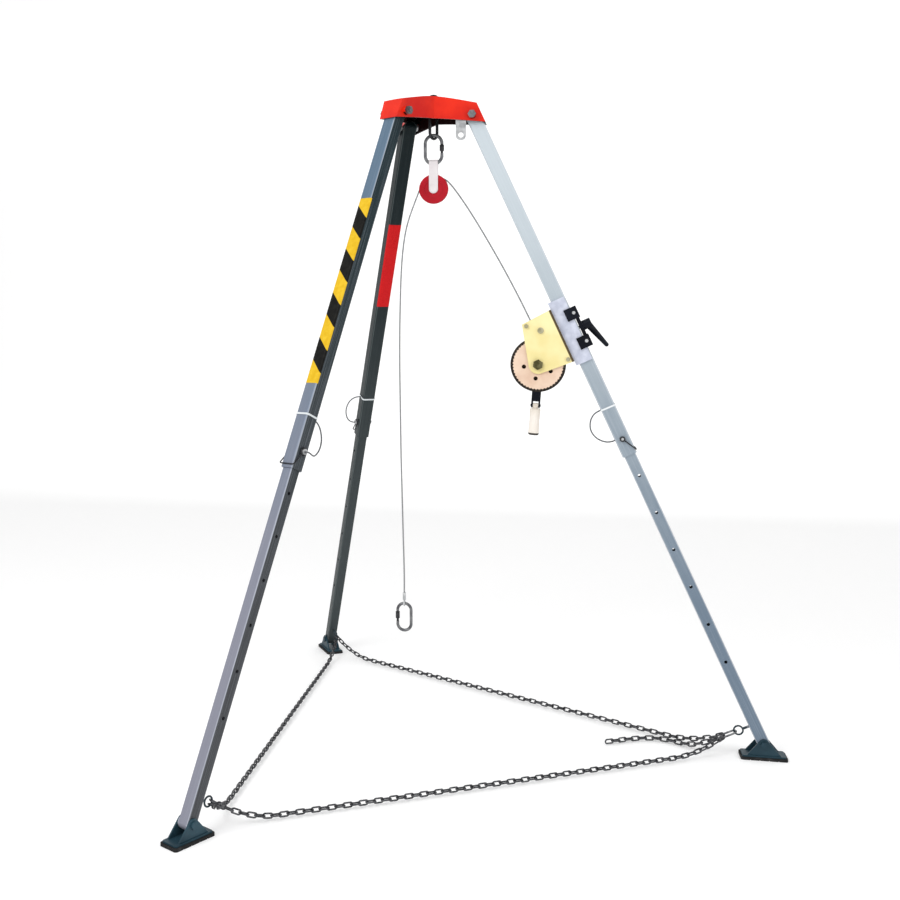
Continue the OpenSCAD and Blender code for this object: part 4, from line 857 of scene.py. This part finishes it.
# Lanyard routes: x outwards, y sideways, u below the band. The back leg's loop hangs to the side
INWARD_LOOP = [
    (-0.034, 0, 0), (-0.048, 0.001, 0.003), (-0.062, 0.003, 0.012), (-0.073, 0.005, 0.026),
    (-0.080, 0.008, 0.044), (-0.080, 0.012, 0.062), (-0.074, 0.017, 0.080), (-0.063, 0.023, 0.095),
    (-0.049, 0.030, 0.106), (-0.035, 0.037, 0.111), (-0.021, 0.043, 0.112), (-0.008, 0.045, 0.111),
]
SIDEWAYS_LOOP = [
    (0.001, 0.034, 0), (0.002, 0.048, 0.003), (0.003, 0.060, 0.011), (0.004, 0.070, 0.025),
    (0.004, 0.076, 0.043), (0.004, 0.077, 0.061), (0.003, 0.074, 0.079), (0.002, 0.067, 0.095),
    (0.001, 0.056, 0.106),
]
LANYARD_SPACING = 0.003
LANYARD_LEAD = 0.007
BAIL_SPACING = 0.0015
BAND_GAP = 0.0001
BAND_FACE = TUBE / 2 + BAND_T + BAND_GAP
BAIL_Y = TUBE / 2 + BAIL_WIRE / 2 + BAIL_SIDE_GAP


def rounded_section(size, fillet, steps=6):
    """The outline of a rounded square, starting in the middle of its outward face."""
    h = size / 2 - fillet
    outline = []
    for corner, (cx, cy) in enumerate(((h, h), (-h, h), (-h, -h), (h, -h))):
        for a in np.radians(np.linspace(corner * 90, corner * 90 + 90, steps + 1)):
            outline.append((cx + fillet * math.cos(a), cy + fillet * math.sin(a)))
    return outline


def sleeve(name, leg, section, high, low, closed=True):
    """A thin skin round a leg between two distances from the head pivot."""
    rows = [[on_leg(leg, x, y, u) for x, y in section] for u in np.linspace(high, low, 5)]
    n = len(section)
    faces = []
    for r in range(len(rows) - 1):
        for k in range(n if closed else n - 1):
            m = (k + 1) % n
            faces.append((r * n + k, (r + 1) * n + k, (r + 1) * n + m, r * n + m))
    return make_mesh(name, [p for row in rows for p in row], faces)


def lanyard(leg):
    """The cord from a leg's band to its lock pin, and the band."""
    if leg == "back":
        route = [(0, BAND_FACE + SEAT, 0)] + SIDEWAYS_LOOP
        still = on_leg(leg, 0, 0, BAND_U + 0.03)
        carried = on_leg(leg, 0, 0, LOCK_U - 0.01)
    else:
        route = [(-BAND_FACE - SEAT, 0, 0)] + INWARD_LOOP
        still = on_leg(leg, -0.08, 0.010, LOCK_U)
        carried = on_leg(leg, 0, 0.038, LOCK_U)
    drop_to_pin = LOCK_U - BAND_U
    route += [(0, PIN_END + LANYARD_LEAD, drop_to_pin), (0, PIN_END, drop_to_pin)]
    path = spline([on_leg(leg, x, y, BAND_U + u) for x, y, u in route], LANYARD_SPACING)
    cord = tube("lanyard_cord_" + leg, path, LANYARD_D)
    dress(cord, "lanyard_cord")
    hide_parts("pin_lanyard_" + leg)
    "upper_" + leg
    "pin_" + leg
    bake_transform(cord)
    band = sleeve("lanyard_band_" + leg, leg, rounded_section(2 * BAND_FACE, TUBE_FILLET + BAND_T),
                  BAND_U - BAND_H / 2, BAND_U + BAND_H / 2)
    dress(band, "band_plastic")
    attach(band, "upper_" + leg)


def bail_path(leg):
    """The bail's wire from the pin's head round the outer face to the pin's tip."""
    droop = math.acos((TUBE / 2 + BAIL_WIRE / 2 + BAIL_FACE_GAP) / BAIL_REACH)
    inner = BAIL_REACH - BAIL_CORNER
    corner_y = BAIL_Y - BAIL_CORNER
    bend = [(BAIL_CORNER * math.sin(a), BAIL_CORNER * math.cos(a)) for a in np.radians(np.arange(10, 90, 10))]
    flat = [(PIN_HEAD_RING_R, BAIL_Y), (inner, BAIL_Y)]
    flat += [(inner + p, corner_y + y) for p, y in bend]
    flat += [(BAIL_REACH, corner_y), (BAIL_REACH, -corner_y)]
    flat += [(inner + y, -corner_y - p) for p, y in bend]
    flat += [(inner, -BAIL_Y), (PIN_TIP_RING_R, -BAIL_Y)]
    route = [on_leg(leg, p * math.cos(droop), y, LOCK_U + p * math.sin(droop)) for p, y in flat]
    return resample(route, BAIL_SPACING)


def ring_path(leg, r, y):
    """A ring round the lock pin's axis."""
    angles = np.linspace(0, 2 * math.pi, 33)
    return [on_leg(leg, r * math.cos(a), y, LOCK_U + r * math.sin(a)) for a in angles]


def bail(leg):
    """The wire bail of a lock pin."""
    wire = joined("bail_wire_" + leg, [
        tube("bail_hoop_" + leg, bail_path(leg), BAIL_WIRE, 10),
        tube("bail_head_ring_" + leg, ring_path(leg, PIN_HEAD_RING_R, BAIL_Y), BAIL_WIRE, 10, caps=False),
        tube("bail_tip_ring_" + leg, ring_path(leg, PIN_TIP_RING_R, -BAIL_Y), BAIL_WIRE, 10, caps=False),
    ])
    dress(wire, "dark_steel")
    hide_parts("pin_bail_" + leg)
    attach(wire, "pin_" + leg)
    "pin_pull_" + leg
    leg_axes(leg)[2]
    on_leg(leg, 0, BAIL_Y, LOCK_U)
    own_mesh(wire)


for leg in LEGS:
    lanyard(leg)
    bail(leg)


# Small forms beside the CAD pieces: the guard disc behind the gear, and a bolt in each clamp jaw

GUARD_R = 0.090
GUARD_RINGS = (-0.0297, -0.0290, -0.0282)
JAW_BOLT_D = 0.012
JAW_BOLT_X = 0.028
JAW_BOLT_RINGS = (-0.0363, -0.0385, -0.0405)
JAW_BOLT_PLACES = (0.734, 0.834)
guard_at = head_frame((DRUM[0], 0, DRUM[1]))
guard = tube("gear_guard", [guard_at + [0, y, 0] for y in GUARD_RINGS], 2 * GUARD_R, 72)
dress(guard, "guard_paint")
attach(guard, "drum")
for u in JAW_BOLT_PLACES:
    bolt = tube("jaw_bolt", [on_leg("right", JAW_BOLT_X, y, u) for y in JAW_BOLT_RINGS], JAW_BOLT_D, 6)
    bolt.data.polygons.foreach_set("use_smooth", [False] * len(bolt.data.polygons))
    dress(bolt, "zinc")
    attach(bolt, "upper_right")


# Tapes on the upper legs

SKIN = 0.0003
TAPE_EDGE_X = 0.0185
outer_face = [(x, y) for x, y in rounded_section(TUBE + 2 * SKIN, TUBE_FILLET + SKIN) if x > TAPE_EDGE_X]
outer_face.sort(key=lambda p: p[1])
inner_face = [(-x, -y) for x, y in outer_face]
tape = sleeve("hazard_tape", "left", outer_face, *TAPE_SPAN, closed=False)
dress(tape, "hazard_tape")
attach(tape, "upper_left")
band = sleeve("reflective_band", "back", inner_face, *BAND_SPAN, closed=False)
dress(band, "red_band")
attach(band, "upper_back")


# Studio: one pale sheet, a floor that curves up into a wall far behind the part

SHEET_HALF = 16.0
BEND_FROM = 9.0
BEND_R = 5.0
WALL_TOP = 14.0
bend_angles = np.radians(np.arange(0, 91, 6))
profile = [(-SHEET_HALF, 0.0)]
profile += [(BEND_FROM + BEND_R * math.sin(a), BEND_R - BEND_R * math.cos(a)) for a in bend_angles]
profile.append((BEND_FROM + BEND_R, WALL_TOP))
sheet_points = [(x, y, z) for y, z in profile for x in (-SHEET_HALF, SHEET_HALF)]
sheet_faces = [(2 * k, 2 * k + 1, 2 * k + 3, 2 * k + 2) for k in range(len(profile) - 1)]
floor = make_mesh("floor", sheet_points, sheet_faces)
floor.data.materials.append(Paint("floor_paint").finish((0.90, 0.90, 0.90), 0.95, glow=0.15))

world = bpy.data.worlds.new("studio")
bpy.context.scene.world = world
world.use_nodes = True
background = world.node_tree.nodes["Background"]
background.inputs["Color"].default_value = (1, 1, 1, 1)
background.inputs["Strength"].default_value = 0.75


def lamp(name, place, target, size, watts):
    """A square lamp that looks at a place."""
    data = bpy.data.lights.new(name, "AREA")
    data.energy = watts
    data.size = size
    obj = bpy.data.objects.new(name, data)
    obj.location = place
    obj.rotation_euler = (Vector(target) - Vector(place)).to_track_quat("-Z", "Y").to_euler()
    bpy.context.scene.collection.objects.link(obj)


lamp("key", place=(-2.6, -3.4, 4.2), target=(0, 0, 1.1), size=2.6, watts=110)
lamp("fill", place=(3.2, -2.6, 2.6), target=(0, 0, 1.0), size=3.0, watts=40)
lamp("backdrop", place=(0, 5.0, 7.5), target=(0, 14.0, 7.0), size=10.0, watts=400)
bpy.context.scene.view_settings.view_transform = "Standard"


# Camera, matched to the photograph; angles in radians

FOCAL_PX = 1124.1
PHOTO_PX = 900.0
SENSOR_MM = 36.0
CENTRE_PX = (323.2, 355.06)
CAMERA_AT = (0.469, -3.789, 1.368)
YAW, PITCH, ROLL = -0.215, -0.020, -0.006
ahead = np.array([math.sin(YAW) * math.cos(PITCH), math.cos(YAW) * math.cos(PITCH), math.sin(PITCH)])
level = np.array([math.cos(YAW), -math.sin(YAW), 0])
right = level * math.cos(ROLL) + np.cross(level, ahead) * math.sin(ROLL)
above = np.cross(right, ahead)
camera_data = bpy.data.cameras.new("camera")
camera_data.sensor_width = SENSOR_MM
camera_data.lens = FOCAL_PX / PHOTO_PX * SENSOR_MM
camera_data.shift_x = 0.5 - CENTRE_PX[0] / PHOTO_PX
camera_data.shift_y = CENTRE_PX[1] / PHOTO_PX - 0.5
camera = bpy.data.objects.new("camera", camera_data)
facing = Matrix((right, above, -ahead)).transposed().to_4x4()
camera.matrix_world = Matrix.Translation(Vector(head_frame(CAMERA_AT))) @ facing
bpy.context.scene.collection.objects.link(camera)
bpy.context.scene.camera = camera
